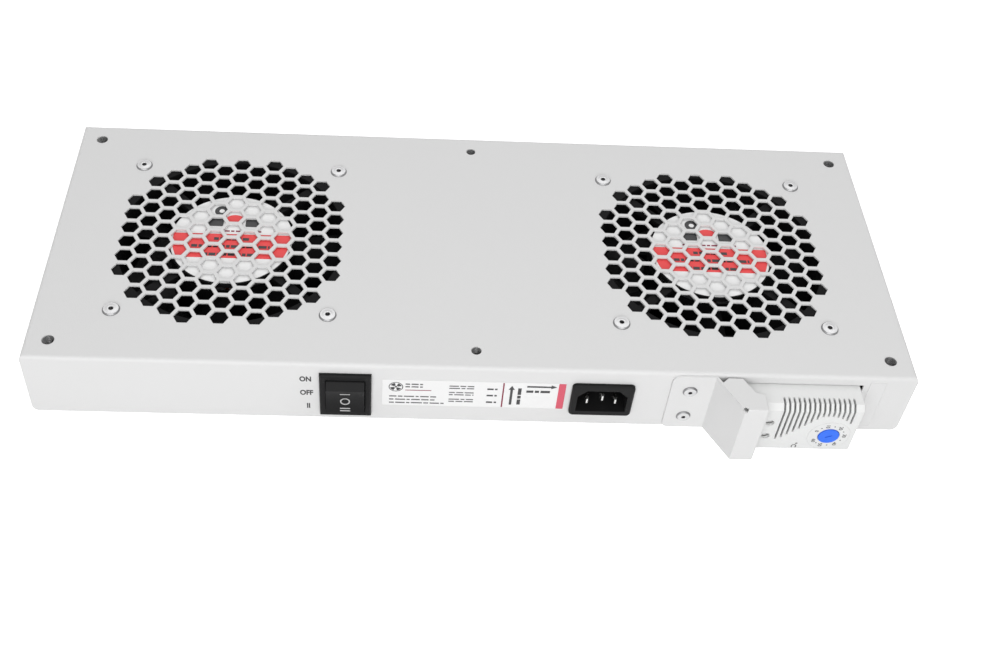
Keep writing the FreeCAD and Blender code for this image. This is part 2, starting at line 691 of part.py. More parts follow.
def fan_rotor(side, place):
    """Everything that turns in a fan: impeller, rotor cup, shaft and its retaining clip."""
    impeller = new_body("fan_%s_impeller" % side, place)
    outer = "impeller_diameter / 2"
    inner = "(impeller_diameter / 2 - impeller_wall)"
    revolve(impeller, "XZ_Plane", "Z_Axis",
            outline(("0", IMPELLER_END), (outer + " - impeller_bevel", IMPELLER_END),
                    (outer, IMPELLER_END + " + impeller_bevel"), (outer, IMPELLER_TOP), (inner, IMPELLER_TOP),
                    (inner, IMPELLER_END + " + impeller_wall"), ("0", IMPELLER_END + " + impeller_wall")))
    blade = impeller.newObject("PartDesign::AdditiveLoft", impeller.Label + "_blade")
    blade.Profile = sketch_on(impeller, "YZ_Plane", outer + " - impeller_wall / 2",
                              [blade_section("root_chord", "root_stagger")])
    blade.Sections = [sketch_on(impeller, "YZ_Plane", DUCT + " / 2", [blade_section("tip_chord", "tip_stagger")])]
    ring_of(impeller, blade, BLADES)
    revolve(impeller, "XZ_Plane", "Z_Axis",
            block(DUCT + " / 2 - tip_gap", FAN_BOTTOM, "fan_size / 2 + tip_gap", FAN_TOP), "PartDesign::Groove")

    cup = new_body("fan_%s_rotor_cup" % side, place)
    wall = CUP_DIAMETER + " / 2"
    revolve(cup, "XZ_Plane", "Z_Axis",
            outline(("shaft_diameter / 2", CUP_END), (wall, CUP_END), (wall, IMPELLER_TOP + " - cup_lip"),
                    (wall + " - cup_wall", IMPELLER_TOP + " - cup_lip"), (wall + " - cup_wall", CUP_END + " + cup_wall"),
                    ("cup_boss / 2", CUP_END + " + cup_wall"), ("cup_boss / 2", TUBE_END + " - running_gap"),
                    ("shaft_diameter / 2", TUBE_END + " - running_gap")))

    shaft = new_body("fan_%s_shaft" % side, place)
    clip_low = HUB_BOTTOM + " + running_gap"
    clip_high = clip_low + " + clip_thickness"
    radius = "shaft_diameter / 2"
    revolve(shaft, "XZ_Plane", "Z_Axis",
            outline(("0", CUP_END), (radius, CUP_END), (radius, clip_low + " - seat_gap"),
                    (radius + " - groove_depth", clip_low + " - seat_gap"),
                    (radius + " - groove_depth", clip_high + " + seat_gap"), (radius, clip_high + " + seat_gap"),
                    (radius, HUB_TOP + " - running_gap"), ("0", HUB_TOP + " - running_gap")))

    clip = new_body("fan_%s_clip" % side, place)
    add(clip, "XY_Plane", clip_low, clip_high, disc("0", "0", "shaft_diameter + 2 * clip_rim - 2 * groove_depth"),
        disc("0", "0", "shaft_diameter - 2 * groove_depth + 2 * seat_gap"))


def switch():
    """Rocker switch: housing with bezel, blade terminals and the rocker on its pivot."""
    housing = new_body("switch_body", "switch_x", PANEL, "switch_z")
    add(housing, "XZ_Plane", "-bezel_depth", "0", middle_block("0", "0", "switch_width", "switch_height"))
    dress("PartDesign::Chamfer", housing, "bezel_chamfer", lambda edge: at_level(edge, "y", -values["bezel_depth"]))
    add(housing, "XZ_Plane", "0", "switch_depth",
        middle_block("0", "0", "switch_cut_width - 2 * cut_clearance", "switch_cut_height - 2 * cut_clearance"))
    cut(housing, "XZ_Plane", "-bezel_depth", "rocker_floor",
        middle_block("0", "0", "rocker_width + 2 * rocker_gap", "2 * (rocker_radius + rocker_gap)"))
    reach = "(rocker_width / 2 + pivot_length + seat_gap)"
    cut(housing, "YZ_Plane", "-" + reach, reach, disc("pivot_depth", "0", "pivot_diameter + 2 * seat_gap"))

    tabs = new_body("switch_terminals", "switch_x", PANEL, "switch_z")
    add(tabs, "XZ_Plane", "switch_depth", "switch_depth + switch_tab_length",
        *[middle_block("%s * switch_tab_columns" % column, "%s * switch_tab_rows" % level, "switch_tab_thickness",
                       "switch_tab_width") for column in (-0.5, 0.5) for level in (-1, 0, 1)])

    rocker = new_body("switch_rocker", "switch_x", "%s + pivot_depth" % PANEL, "switch_z")
    pad = "-(bezel_depth + pivot_depth + rocker_proud)"
    lip = "-(bezel_depth + pivot_depth + 0.3)"
    lip_z = "sqrt(rocker_radius ^ 2 - (bezel_depth + pivot_depth + 0.3) ^ 2)"
    back_z = "sqrt(rocker_radius ^ 2 - rocker_back ^ 2)"
    add(rocker, "YZ_Plane", "-rocker_width / 2", "rocker_width / 2",
        outline((pad, "rocker_pad", "-rocker_dish"), (pad, "-rocker_pad"), (lip, "-" + lip_z, "rocker_radius"),
                ("rocker_back", "-" + back_z), ("rocker_back", back_z, "rocker_radius"), (lip, lip_z)))
    add(rocker, "YZ_Plane", "-rocker_width / 2 - pivot_length", "rocker_width / 2 + pivot_length",
        disc("0", "0", "pivot_diameter"))


def inlet():
    """Mains inlet: a bezelled body with a slant-cornered socket, and its three pins."""
    housing = new_body("inlet_body", "inlet_x", PANEL, "inlet_z")
    add(housing, "XZ_Plane", "-bezel_depth", "0", middle_block("0", "0", "inlet_width", "inlet_height"))
    dress("PartDesign::Fillet", housing, "inlet_round", lambda edge: straight(edge, "y"))
    dress("PartDesign::Chamfer", housing, "bezel_chamfer", lambda edge: at_level(edge, "y", -values["bezel_depth"]))
    add(housing, "XZ_Plane", "0", "inlet_depth",
        middle_block("0", "0", "inlet_cut_width - 2 * cut_clearance", "inlet_cut_height - 2 * cut_clearance"))
    half = "socket_width / 2"
    top = "socket_height / 2"
    cut(housing, "XZ_Plane", "-bezel_depth", "socket_floor",
        outline(("-" + half, "-" + top), (half, "-" + top), (half, top + " - socket_slant"),
                (half + " - socket_slant", top), ("socket_slant - " + half, top),
                ("-" + half, top + " - socket_slant")))
    pins = (("-pin_spacing / 2", "-pin_offset", "pin_start"), ("0", "pin_offset", "earth_start"),
            ("pin_spacing / 2", "-pin_offset", "pin_start"))
    cut(housing, "XZ_Plane", "socket_floor", "inlet_depth",
        *[middle_block(x, z, "pin_width + 2 * seat_gap", "pin_height + 2 * seat_gap") for x, z, start in pins])
    metal = new_body("inlet_pins", "inlet_x", PANEL, "inlet_z")
    for x, z, start in pins:
        add(metal, "XZ_Plane", start, "inlet_depth", middle_block(x, z, "pin_width", "pin_height"))
        add(metal, "XZ_Plane", "inlet_depth", "inlet_depth + inlet_tab_length",
            middle_block(x, z, "inlet_tab_width", "inlet_tab_thickness"))


def thermostat_cover():
    """Slotted cover with a chamfered upper front edge, a dial boss and two screw holes."""
    body = new_body("thermostat_housing", "thermostat_x", PANEL, "thermostat_z")
    end = "thermostat_length / 2"
    side = "thermostat_height / 2"
    slant = "(cover_chamfer - cover_wall * (2 - sqrt(2)))"
    add(body, "YZ_Plane", "-" + end, end,
        outline((COVER_FRONT, "-" + side), (COVER_BACK, "-" + side), (COVER_BACK, side),
                (COVER_FRONT + " + cover_chamfer", side), (COVER_FRONT, side + " - cover_chamfer")))
    face = -values["thermostat_reach"]
    dress("PartDesign::Fillet", body, "cover_edge",
          lambda edge: straight(edge, "z") and at_level(edge, "y", face) or straight(edge, "x")
          and at_level(edge, "y", face) and edge.BoundBox.ZMax < 0)
    cut(body, "YZ_Plane", "-(%s - cover_wall)" % end, "%s - cover_wall" % end,
        outline((COVER_FRONT + " + cover_wall", "-(%s - cover_wall)" % side),
                (COVER_BACK, "-(%s - cover_wall)" % side), (COVER_BACK, side + " - cover_wall"),
                (COVER_FRONT + " + cover_wall + " + slant, side + " - cover_wall"),
                (COVER_FRONT + " + cover_wall", side + " - cover_wall - " + slant)))
    inner = COVER_FRONT + " + cover_wall"
    add(body, "XZ_Plane", inner, inner + " + boss_length", disc("dial_x", "dial_z", "dial_boss"))
    recess = COVER_FRONT + " + dial_head + running_gap - dial_proud"
    cut(body, "XZ_Plane", COVER_FRONT, recess, disc("dial_x", "dial_z", "dial_diameter + 2 * dial_gap"))
    cut(body, "XZ_Plane", recess, inner + " + boss_length", disc("dial_x", "dial_z", "dial_stem + 2 * seat_gap"))
    cut(body, "XZ_Plane", COVER_FRONT, inner, disc("screw_x", "screw_upper", "screw_access"),
        disc("screw_x", "screw_lower", "screw_access"))
    cut(body, "YZ_Plane", "-" + end, "-%s + cover_wall" % end, disc("block_front", "screw_upper", "wire_entry"),
        disc("block_front", "screw_lower", "wire_entry"))
    for index in range(VENTS):
        middle = "(vent_first + %d * vent_pitch)" % index
        ring = "dial_z + sqrt(max(0; vent_ring ^ 2 - (%s - vent_ring_x) ^ 2))" % middle
        foot = "max(%s + vent_rise; vent_floor)" % middle if index < STRAIGHT_VENTS else ring
        back = COVER_FRONT + " + vent_top"
        over = side + " - cover_wall - seat_gap"
        behind = COVER_FRONT + " + cover_wall + seat_gap"
        cut(body, "YZ_Plane", middle + " - vent_width / 2", middle + " + vent_width / 2",
            outline((COVER_FRONT + " - cover_wall", foot), (COVER_FRONT + " - cover_wall", side + " + cover_wall"),
                    (back, side + " + cover_wall"), (back, over), (behind + " + cover_chamfer", over),
                    (behind, over + " - cover_chamfer"), (behind, foot)))


def thermostat_inside():
    """Rear plate with its terminal block and rail hooks, the clamps and the bimetal strip."""
    base = new_body("thermostat_base", "thermostat_x", PANEL, "thermostat_z")
    add(base, "XZ_Plane", COVER_BACK, BASE_BACK, middle_block("0", "0", "thermostat_length", "thermostat_height"))
    add(base, "XZ_Plane", "block_front", COVER_BACK, block("block_left", "-block_half", "block_right", "block_half"))
    add(base, "XZ_Plane", "post_front", COVER_BACK,
        block("block_right", "dial_z - strip_width / 2", "block_right + post_width", "dial_z + strip_width / 2"))
    arm = "(rail_width / 2 + hook_gap)"
    lip_front = BASE_BACK + " + rail_wall + 2 * hook_gap"
    hook = add(base, "XY_Plane", "-hook_height / 2", "hook_height / 2",
               outline((arm, BASE_BACK), (arm + " + hook_arm", BASE_BACK),
                       (arm + " + hook_arm", lip_front + " + lip_thickness"),
                       (arm + " - hook_lip", lip_front + " + lip_thickness"), (arm + " - hook_lip", lip_front),
                       (arm, lip_front)))
    repeat(base, hook, mirror(base, "YZ_Plane"))

    clamps = new_body("thermostat_terminals", "thermostat_x", PANEL, "thermostat_z")
    clamp_front = "(block_front - clamp_depth)"
    levels = ("screw_upper", "screw_lower")
    add(clamps, "XZ_Plane", clamp_front, "block_front",
        *[middle_block("screw_x", level, "clamp_width", "clamp_height") for level in levels])
    add(clamps, "XZ_Plane", clamp_front + " - screw_head_height", clamp_front,
        *[disc("screw_x", level, "screw_head") for level in levels])
    cut(clamps, "XZ_Plane", clamp_front + " - screw_head_height", clamp_front + " - screw_head_height / 2",
        *[middle_block("screw_x", level, "dial_slot_width", "screw_head + 2 * seat_gap") for level in levels])

    strip = new_body("thermostat_bimetal", "thermostat_x", PANEL, "thermostat_z")
    add(strip, "XZ_Plane", "post_front - strip_thickness", "post_front",
        block("block_right", "dial_z - strip_width / 2", "block_right + strip_length", "dial_z + strip_width / 2"))


def thermostat_dial():
    """Setting dial: a round head with a screwdriver slot, on a stem that ends just off the strip."""
    body = new_body("thermostat_dial", "thermostat_x + dial_x", PANEL, "thermostat_z + dial_z")
    front = COVER_FRONT + " - dial_proud"
    add(body, "XZ_Plane", front, front + " + dial_head", disc("0", "0", "dial_diameter"))
    add(body, "XZ_Plane", front + " + dial_head", "post_front - strip_thickness - running_gap",
        disc("0", "0", "dial_stem"))
    cut(body, "XZ_Plane", front, front + " + dial_slot_depth",
        spoke("-dial_slot_length / 2", "dial_slot_length / 2", "dial_slot_width", "dial_mark"))


def thermostat_rail():
    """Folded tongue under the plate; the thermostat's hooks close round its two upright edges."""
    body = new_body("thermostat_rail", "thermostat_x")
    front = "(%s + %s + hook_gap)" % (PANEL, BASE_BACK)
    back = "(%s + rail_wall)" % front
    low = "(-tray_wall - rail_drop)"
    add(body, "YZ_Plane", "-rail_width / 2", "rail_width / 2",
        outline((front, low), (back, low), (back, "-tray_wall - rail_wall - rail_bend", "rail_wall + rail_bend"),
                (back + " - rail_wall - rail_bend", "-tray_wall"), (back + " - rail_foot", "-tray_wall"),
                (back + " - rail_foot", "-tray_wall - rail_wall"),
                (front + " - rail_bend", "-tray_wall - rail_wall", "-rail_bend"),
                (front, "-tray_wall - rail_wall - rail_bend")))


def guard():
    """Folded guard: a flange on the panel, a slanting face, a front face and a flap over the top."""
    body = new_body("thermostat_guard")
    flange = "(%s - guard_wall)" % PANEL
    turned = "guard_bend + guard_run"
    add(body, "XY_Plane", "-tray_height", "guard_top",
        outline(("guard_left", flange), ("guard_bend", flange), (turned, GUARD_FRONT), ("guard_end", GUARD_FRONT),
                ("guard_end", GUARD_FRONT + " + guard_wall"),
                ("%s + %s" % (turned, GUARD_SHIFT), GUARD_FRONT + " + guard_wall"),
                ("guard_bend + " + GUARD_SHIFT, PANEL), ("guard_left", PANEL)))
    left = values["guard_left"]
    for radius, level in (("guard_upper_round", "guard_top"), ("guard_lower_round", "-tray_height")):
        height = reckon(level)
        dress("PartDesign::Fillet", body, radius,
              lambda edge: straight(edge, "y") and at_level(edge, "x", left) and at_level(edge, "z", height))
    add(body, "XY_Plane", "guard_top - guard_wall", "guard_top",
        outline((turned, GUARD_FRONT), ("guard_end", GUARD_FRONT), ("guard_end", GUARD_FRONT + " + flap_notch"),
                ("guard_end - flap_step", GUARD_FRONT + " + flap_notch + guard_wall"),
                ("guard_end - flap_step - 0.5 * flap_notch", flange),
                ("guard_end - flap_step - 0.5 * flap_notch - flap_rear", flange),
                ("guard_bend + guard_run * flap_relief / guard_reach", flange + " - flap_relief")))
    doc.recompute()
    face = reckon(GUARD_FRONT)
    top = values["guard_top"]
    dress("PartDesign::Fillet", body, "guard_edge",
          lambda edge: at_level(edge, "z", top) and at_level(edge, "y", face))
    cut(body, "XY_Plane", "guard_top - 2 * guard_wall", "guard_top",
        disc(turned + " + guard_wall / 2", GUARD_FRONT + " + guard_wall", "guard_hole"))
    cut(body, "XZ_Plane", flange, PANEL,
        disc("guard_rivet_x", "guard_rivet_upper", "guard_rivet_shank + 2 * seat_gap"),
        disc("guard_rivet_x", "guard_rivet_lower", "guard_rivet_shank + 2 * seat_gap"))


def check_and_write():
    """Check every object and write each sub-part to a file of its own name."""
    for item in doc.Objects:
        if "Invalid" in item.State or "Error" in item.State:
            raise RuntimeError("%s failed: %s" % (item.Label, item.State))
    os.makedirs("parts", exist_ok=True)
    for item in parts:
        if item.Shape.isNull() or not item.Shape.isValid():
            raise RuntimeError("%s has no sound shape" % item.Label)
        item.Shape.exportStep("parts/%s.step" % item.Label)
        print("%-24s %d solids  %.1f mm3" % (item.Label, len(item.Shape.Solids), item.Shape.Volume))


tray()
nuts("corner_nuts", "corner_thread", "corner_nut_flats", "corner_nut_height", True)
nuts("edge_nuts", "edge_thread", "edge_nut_flats", "edge_nut_height", False)
fan_rivets()
guard()
guard_rivets()
for side, place in (("left", "-fan_spacing / 2"), ("right", "fan_spacing / 2")):
    fan_frame(side, place)
    fan_fixed(side, place)
    fan_rotor(side, place)
switch()
inlet()
thermostat_cover()
thermostat_inside()
thermostat_dial()
thermostat_rail()
doc.recompute()
check_and_write()
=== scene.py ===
import math

import bmesh
import bpy
from mathutils import Euler, Matrix, Vector


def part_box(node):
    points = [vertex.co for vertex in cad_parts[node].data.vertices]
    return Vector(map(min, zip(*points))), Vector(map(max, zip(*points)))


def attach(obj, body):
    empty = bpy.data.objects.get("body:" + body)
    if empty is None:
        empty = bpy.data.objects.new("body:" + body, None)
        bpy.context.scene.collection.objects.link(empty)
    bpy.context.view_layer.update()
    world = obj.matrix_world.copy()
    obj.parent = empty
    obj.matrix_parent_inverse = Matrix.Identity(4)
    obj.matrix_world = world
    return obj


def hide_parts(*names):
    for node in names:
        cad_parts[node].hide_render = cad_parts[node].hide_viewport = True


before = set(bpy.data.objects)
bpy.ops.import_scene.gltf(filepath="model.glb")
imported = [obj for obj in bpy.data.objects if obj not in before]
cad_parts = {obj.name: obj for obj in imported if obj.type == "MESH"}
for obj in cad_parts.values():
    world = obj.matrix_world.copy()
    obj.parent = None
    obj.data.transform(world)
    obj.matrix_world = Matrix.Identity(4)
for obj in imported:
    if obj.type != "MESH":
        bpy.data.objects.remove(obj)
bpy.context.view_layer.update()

bl_info = {
    "name": "Fan tray dressing",
    "version": (1, 0, 0),
    "blender": (4, 5, 0),
    "location": "View3D > Sidebar > Fan tray",
    "description": "Finishes, printed marks and a plain studio for a cabinet fan tray",
    "category": "Object",
}

MM = 0.001
TRAY = "tray_assembly"
UP = (0.0, 0.0, 1.0)
FRONT = (0.0, -1.0, 0.0)

# Half the thickness of printed marks and of label film, in metres
PRINT_RISE = 0.00004
FILM_RISE = 0.00012

# Camera that stands where the photograph was taken from: place, turn in degrees, focal length, shift
# and sensor width
CAMERA_PLACE = (-0.03965, -0.47889, 0.47975)
CAMERA_TURN = (44.18629, -3.31129, -0.87344)
CAMERA_LENS = 46.946
CAMERA_SHIFT = (0.0354, -0.0735)
SENSOR_WIDTH = 36.0

# Lamps: where each hangs, what it is aimed at, and its size
KEY_LAMP = {"place": (0.15, 0.35, 1.1), "aim": (0.0, 0.0, 0.0), "width": 1.6, "height": 1.2}
FRONT_LAMP = {"place": (-0.1, -1.2, 0.7), "aim": (0.0, -0.08, 0.0), "width": 1.6, "height": 0.9}

# Paper: how light it is round the tray, how light the painted shade right under it is, how far that painted
# shade stays inside the tray's outline, how brightly the background shows, and how far the paper lies below
# the tray
PAPER_WHITE = 0.8
PAPER_PAINTED_SHADE = 0.1
PAPER_MARGIN = 0.004
PAPER_GLOW = 0.7
PAPER_GAP = 0.00005

# Surface grain: how much finer its second layer is, and that layer's share of the height
FINE_SCALE = 3.1
FINE_SHARE = 0.35

# Worn edges: radius of the rounding, how quickly the wear sets in, and how much paler it is
EDGE_RADIUS = 0.0003
EDGE_GAIN = 3.0
EDGE_PALER = 1.25
EDGE_LIFT = 0.01

# Dust: its colour and the size of its clouds
DUST_COLOUR = (0.42, 0.41, 0.39, 1.0)
DUST_SCALE = 160.0

# Depth of the bumps as a share of the grain, and roughness of a clear coat
BUMP_SHARE = 0.25
COAT_ROUGHNESS = 0.1

# All sizes from here on are in millimetres, apart from those that a comment gives in metres.

# Rivets: recess and collar as shares of the head's radius, width of the bevel, rise of the head,
# its flat as a share of that rise, corners round it, and the angle that keeps an edge sharp
RIVET_RECESS = 0.27
RIVET_COLLAR = 0.56
RIVET_BEVEL = 0.6
RIVET_RISE = 1.1
RIVET_FLAT = 0.84
RIVET_CORNERS = 32
RIVET_CREASE = 40.0

# Small steps of the head: how much the recess narrows, drop and width of its lip, fall of the collar
# and how far inside its radius it turns down
HOLE_TAPER = 0.1
LIP_DROP = 0.15
LIP_WIDTH = 0.2
COLLAR_FALL = 0.98
COLLAR_TURN = (0.4, 0.1)

# Edge of the head below its bevel: how far inside the head's radius, and its height
HEAD_EDGE = ((0.2, 0.42), (0.0, 0.12), (0.0, 0.0))

# Broken mandrel in the recess: radius and height, from its top down
MANDREL = ((0.45, -0.5), (0.65, -0.65), (0.7, -1.1))

# Bulb behind the sheet: radius as a share of the shank's, and how far it lies behind the grip
BULB = ((1.5, 0.6), (1.55, 1.8), (1.2, 3.0), (0.9, 4.0))

# How far out a fan's middle lies, and how far its rivets are from there
FAN_OUT = 125.0
FAN_HOLE = 52.4

# Each rivet: middle of its seat, the way its head faces, head radius, shank radius and grip
FAN_RIVETS = [((side * FAN_OUT + across * FAN_HOLE, along * FAN_HOLE, 0.0), UP, 4.35, 2.0, 5.0)
              for side in (-1, 1) for across in (-1, 1) for along in (-1, 1)]
GUARD_RIVETS = [((104.6, -85.0, rise), FRONT, 3.6, 1.6, 2.0) for rise in (-12.0, -31.1)]

# Screw holes: how far out and back they lie, and the threads' radii at corner and edge
SCREW_OUT = 203.5
SCREW_BACK = 72.6
CORNER_THREAD = 3.0
EDGE_THREAD = 2.5

# Thread: pitch, depth, half widths of foot and crest as shares of the pitch, how far the foot
# stands off the wall, level of the first turn, and how far the last one ends above the nut's end
THREAD_PITCH = 0.9
THREAD_DEPTH = 0.42
THREAD_FOOT = 0.42
THREAD_CREST = 0.06
THREAD_CLEAR = 0.02
THREAD_TOP = -0.6
THREAD_END = 0.5

# Inlet pins: middle of the socket, how far the pins are from it, where their tips and the ends of
# their blades lie, half sizes of blade, tip and rear tab, and length of the taper
INLET_MIDDLE = (62.4, -20.2)
PIN_SPACING = 7.0
PIN_OFFSET = 2.0
PIN_TIP = -84.3
EARTH_TIP = -85.7
PIN_SEAT = -67.0
PIN_HALF = (1.0, 2.0)
PIN_POINT = (0.4, 1.45)
TAB_HALF = (3.15, 0.4)
PIN_TAPER = 1.6

# Rocker: middle, front end and half height of its pad, and radius of the dish in it
ROCKER_MIDDLE = (-62.5, -21.0)
PAD_FRONT = -89.4
PAD_HALF = 8.1
DISH_RADIUS = 38.0

# Marks on the rocker, from its middle: bars by two corners, and a ring by height and radii
ROCKER_BARS = ((-2.45, 4.9, 2.45, 5.5), (-2.45, -5.8, 2.45, -5.2), (-2.45, -7.3, 2.45, -6.7))
ROCKER_RING = (-0.6, 2.4, 1.8)

# Words beside the switch with their middles, how bold they are in metres, and how narrow
SWITCH_WORDS = (("ON", -81.6, -10.9), ("OFF", -81.3, -21.2), ("II", -80.6, -31.4))
WORD_WEIGHT = 0.00019
WORD_SQUEEZE = 0.72

# Share of a letter's size that its capitals fill
CAPITALS = 0.72

# Faces that carry print: the front panel and the thermostat's cover
PANEL_FACE = -84.0
COVER_FACE = -98.3

# Terminal screws: middles of the cover's two access holes, radius of the head, half its slot,
# where its face lies, depth of the slot, and how much of the radius the slotted halves reach
SCREW_PLACES = ((143.0, -18.1), (143.0, -28.4))
SCREW_RADIUS = 1.95
SCREW_SLOT = 0.32
SCREW_FACE = -96.4
SCREW_CUT = 0.6
SCREW_REACH = 0.99

# Thermostat's scale: middle of the dial, where its numbers stand in degrees, and how far out
# numbers, dots and the thin ring lie
DIAL_MIDDLE = (174.1, -27.3)
SCALE_TURNS = (152, 105, 53, 2, -55, -109, -150)
NUMBER_OUT = 7.7
DOT_OUT = 7.5
DOT_RADIUS = 0.34
SCALE_RING = (10.6, 10.35)
UNIT = ("°C", 158.7, -35.2)

# Height and weight of the scale's numbers and of its unit, in metres
NUMBER_HEIGHT = 0.0019
NUMBER_WEIGHT = 0.00004
UNIT_HEIGHT = 0.0026
UNIT_WEIGHT = 0.00006

# Bare sticker beside the thermostat: two corners and their rounding
STICKER = (192.0, -37.0, 200.1, -3.2, 0.5)

# Front label: its film, coloured bar and thin lines by two corners, and its arrows from foot
# to tip with width and head
LABEL_FILM = (-44.8, -29.0, 44.3, -9.6, 0.6)
LABEL_BAR = (40.6, -28.9, 44.1, -9.7)
LABEL_LINES = ((13.5, -28.6, 14.2, -10.0), (-33.6, -17.4, -21.0, -16.9))
LABEL_ARROWS = ((17.9, -26.6, 17.9, -12.0, 1.25, 3.0), (25.2, -12.4, 39.8, -12.4, 1.15, 2.8))

# Fan sign on it: middle, radii of ring, hub and blades, and where the blades start in degrees
SIGN_MIDDLE = (-38.2, -14.8)
SIGN_RING = (3.5, 3.1)
SIGN_HUB = 0.6
SIGN_BLADE = (0.9, 2.8)
BLADE_STARTS = (10, 100, 190, 280)
BLADE_SWEEP = 55

# Gap between the bars that stand for print. Each row: left and right end, levels, height and
# the lengths that its bars take in turn
BAR_GAP = 0.7
SOFT_ROWS = (
    (-41.4, -18.5, (-22.0, -24.4), 0.85, (3.6, 2.2, 5.0, 1.5, 4.2)),
    (-41.4, -14.6, (-26.9,), 0.85, (2.4, 4.6, 1.6, 5.4)),
    (-12.4, -0.4, (-13.3, -15.0, -18.2, -19.9, -23.4, -25.1), 0.75, (4.6, 2.8, 3.4, 5.2, 1.9)),
    (-33.6, -24.6, (-12.6, -14.6), 0.9, (2.2, 3.4, 1.4)),
)
BOLD_ROWS = (
    (6.0, 11.0, (-15.0, -19.9, -25.1), 1.15, (3.1, 1.2)),
    (25.1, 36.6, (-16.1,), 1.7, (3.4, 2.1, 4.6)),
)
UPRIGHT_BARS = ((21.0, -26.4, 22.7, -22.4), (21.0, -21.7, 22.7, -19.5), (21.0, -18.8, 22.7, -13.8))

# Fans' labels, from the middle of each: bare rim, levels of the red band, two tags by their corners,
# an eye by its middle and radii, and an oval dot by its middle, radius and flatness
RIM = 1.2
BAND_LEVELS = (-13.9, 3.4)
TAGS = ((-13.6, 9.0, -5.4, 14.4), (6.0, 9.0, 14.2, 14.4))
TAG_CORNER = 0.8
EYE_MIDDLE = (-7.2, 20.4)
EYE_RADII = (3.7, 1.4)
OVAL_MIDDLE = (0.3, 14.6)
OVAL_RADIUS = 4.6
OVAL_FLATNESS = 0.66
LINE_ROW = (-14.0, 15.0, 5.6, 1.0, (2.6, 1.7, 3.4))
BAND_ROWS = (
    (-9.0, 9.5, -0.2, 1.9, (2.4, 1.6, 3.2)),
    (-20.0, 20.0, -5.6, 1.9, (3.0, 1.8, 4.2, 2.2)),
    (-13.0, 13.5, -11.4, 1.9, (1.8, 3.4, 2.4)),
)


class TraySettings(bpy.types.PropertyGroup):
    """Sizes and colours of the dressed tray."""

    paint: bpy.props.FloatVectorProperty(
        name="Paint", description="Colour of the powder coat", subtype="COLOR",
        default=(0.705, 0.705, 0.705))
    paint_grain: bpy.props.FloatProperty(
        name="Paint grain", description="Width of the powder coat's grain", default=0.0005, min=0.0001,
        precision=5, unit="LENGTH")
    cover_plastic: bpy.props.FloatVectorProperty(
        name="Cover plastic", description="Colour of the thermostat's cover", subtype="COLOR",
        default=(0.74, 0.745, 0.74))
    black_plastic: bpy.props.FloatVectorProperty(
        name="Black plastic", description="Colour of switch and inlet", subtype="COLOR",
        default=(0.012, 0.012, 0.0125))
    dial_blue: bpy.props.FloatVectorProperty(
        name="Dial blue", description="Colour of the setting dial", subtype="COLOR",
        default=(0.022, 0.158, 0.88))
    band_red: bpy.props.FloatVectorProperty(
        name="Band red", description="Colour of the band on the fans' labels", subtype="COLOR",
        default=(0.80, 0.078, 0.082))
    bar_pink: bpy.props.FloatVectorProperty(
        name="Bar red", description="Colour of the bar on the front label", subtype="COLOR",
        default=(0.66, 0.10, 0.15))
    ink: bpy.props.FloatVectorProperty(
        name="Ink", description="Colour of printed marks", subtype="COLOR", default=(0.02, 0.02, 0.022))
    letter_height: bpy.props.FloatProperty(
        name="Letter height", description="Height of the words beside the switch", default=0.0036,
        min=0.001, precision=4, unit="LENGTH")
    floor_reach: bpy.props.FloatProperty(
        name="Floor reach", description="Half the width of the floor", default=6.0, min=1.0, unit="LENGTH")
    key_power: bpy.props.FloatProperty(
        name="Key power", description="Power of the large lamp over the tray", default=6.0, min=0.0,
        unit="POWER")
    front_power: bpy.props.FloatProperty(
        name="Front power", description="Power of the lamp before the tray", default=13.8, min=0.0,
        unit="POWER")
    sky_light: bpy.props.FloatProperty(
        name="Sky light", description="Strength of the even light from all round", default=0.37, min=0.0)


# Shader groups

def start_group(name, inputs, outputs):
    """Make an empty shader node group with named sockets."""
    group = bpy.data.node_groups.new(name, "ShaderNodeTree")
    for label, kind, value in inputs:
        socket = group.interface.new_socket(label, in_out="INPUT", socket_type="NodeSocket" + kind)
        if value is not None:
            socket.default_value = value
    for label, kind in outputs:
        group.interface.new_socket(label, in_out="OUTPUT", socket_type="NodeSocket" + kind)
    return group, group.nodes.new("NodeGroupInput"), group.nodes.new("NodeGroupOutput")


def node(tree, kind, **settings):
    """Add one node and set its properties."""
    made = tree.nodes.new("ShaderNode" + kind)
    for label, value in settings.items():
        setattr(made, label, value)
    return made


def math_node(tree, operation, first, second):
    """Join two values or sockets with an arithmetic node."""
    made = node(tree, "Math", operation=operation)
    for socket, value in zip(made.inputs, (first, second)):
        if isinstance(value, (int, float)):
            socket.default_value = value
        else:
            tree.links.new(value, socket)
    return made.outputs[0]


def mix_colour(tree, share, first, second):
    """Mix two colour sockets by a mask."""
    made = node(tree, "Mix", data_type="RGBA")
    for index, value in ((0, share), (6, first), (7, second)):
        if hasattr(value, "is_linked"):
            tree.links.new(value, made.inputs[index])
        else:
            made.inputs[index].default_value = value
    return made.outputs[2]


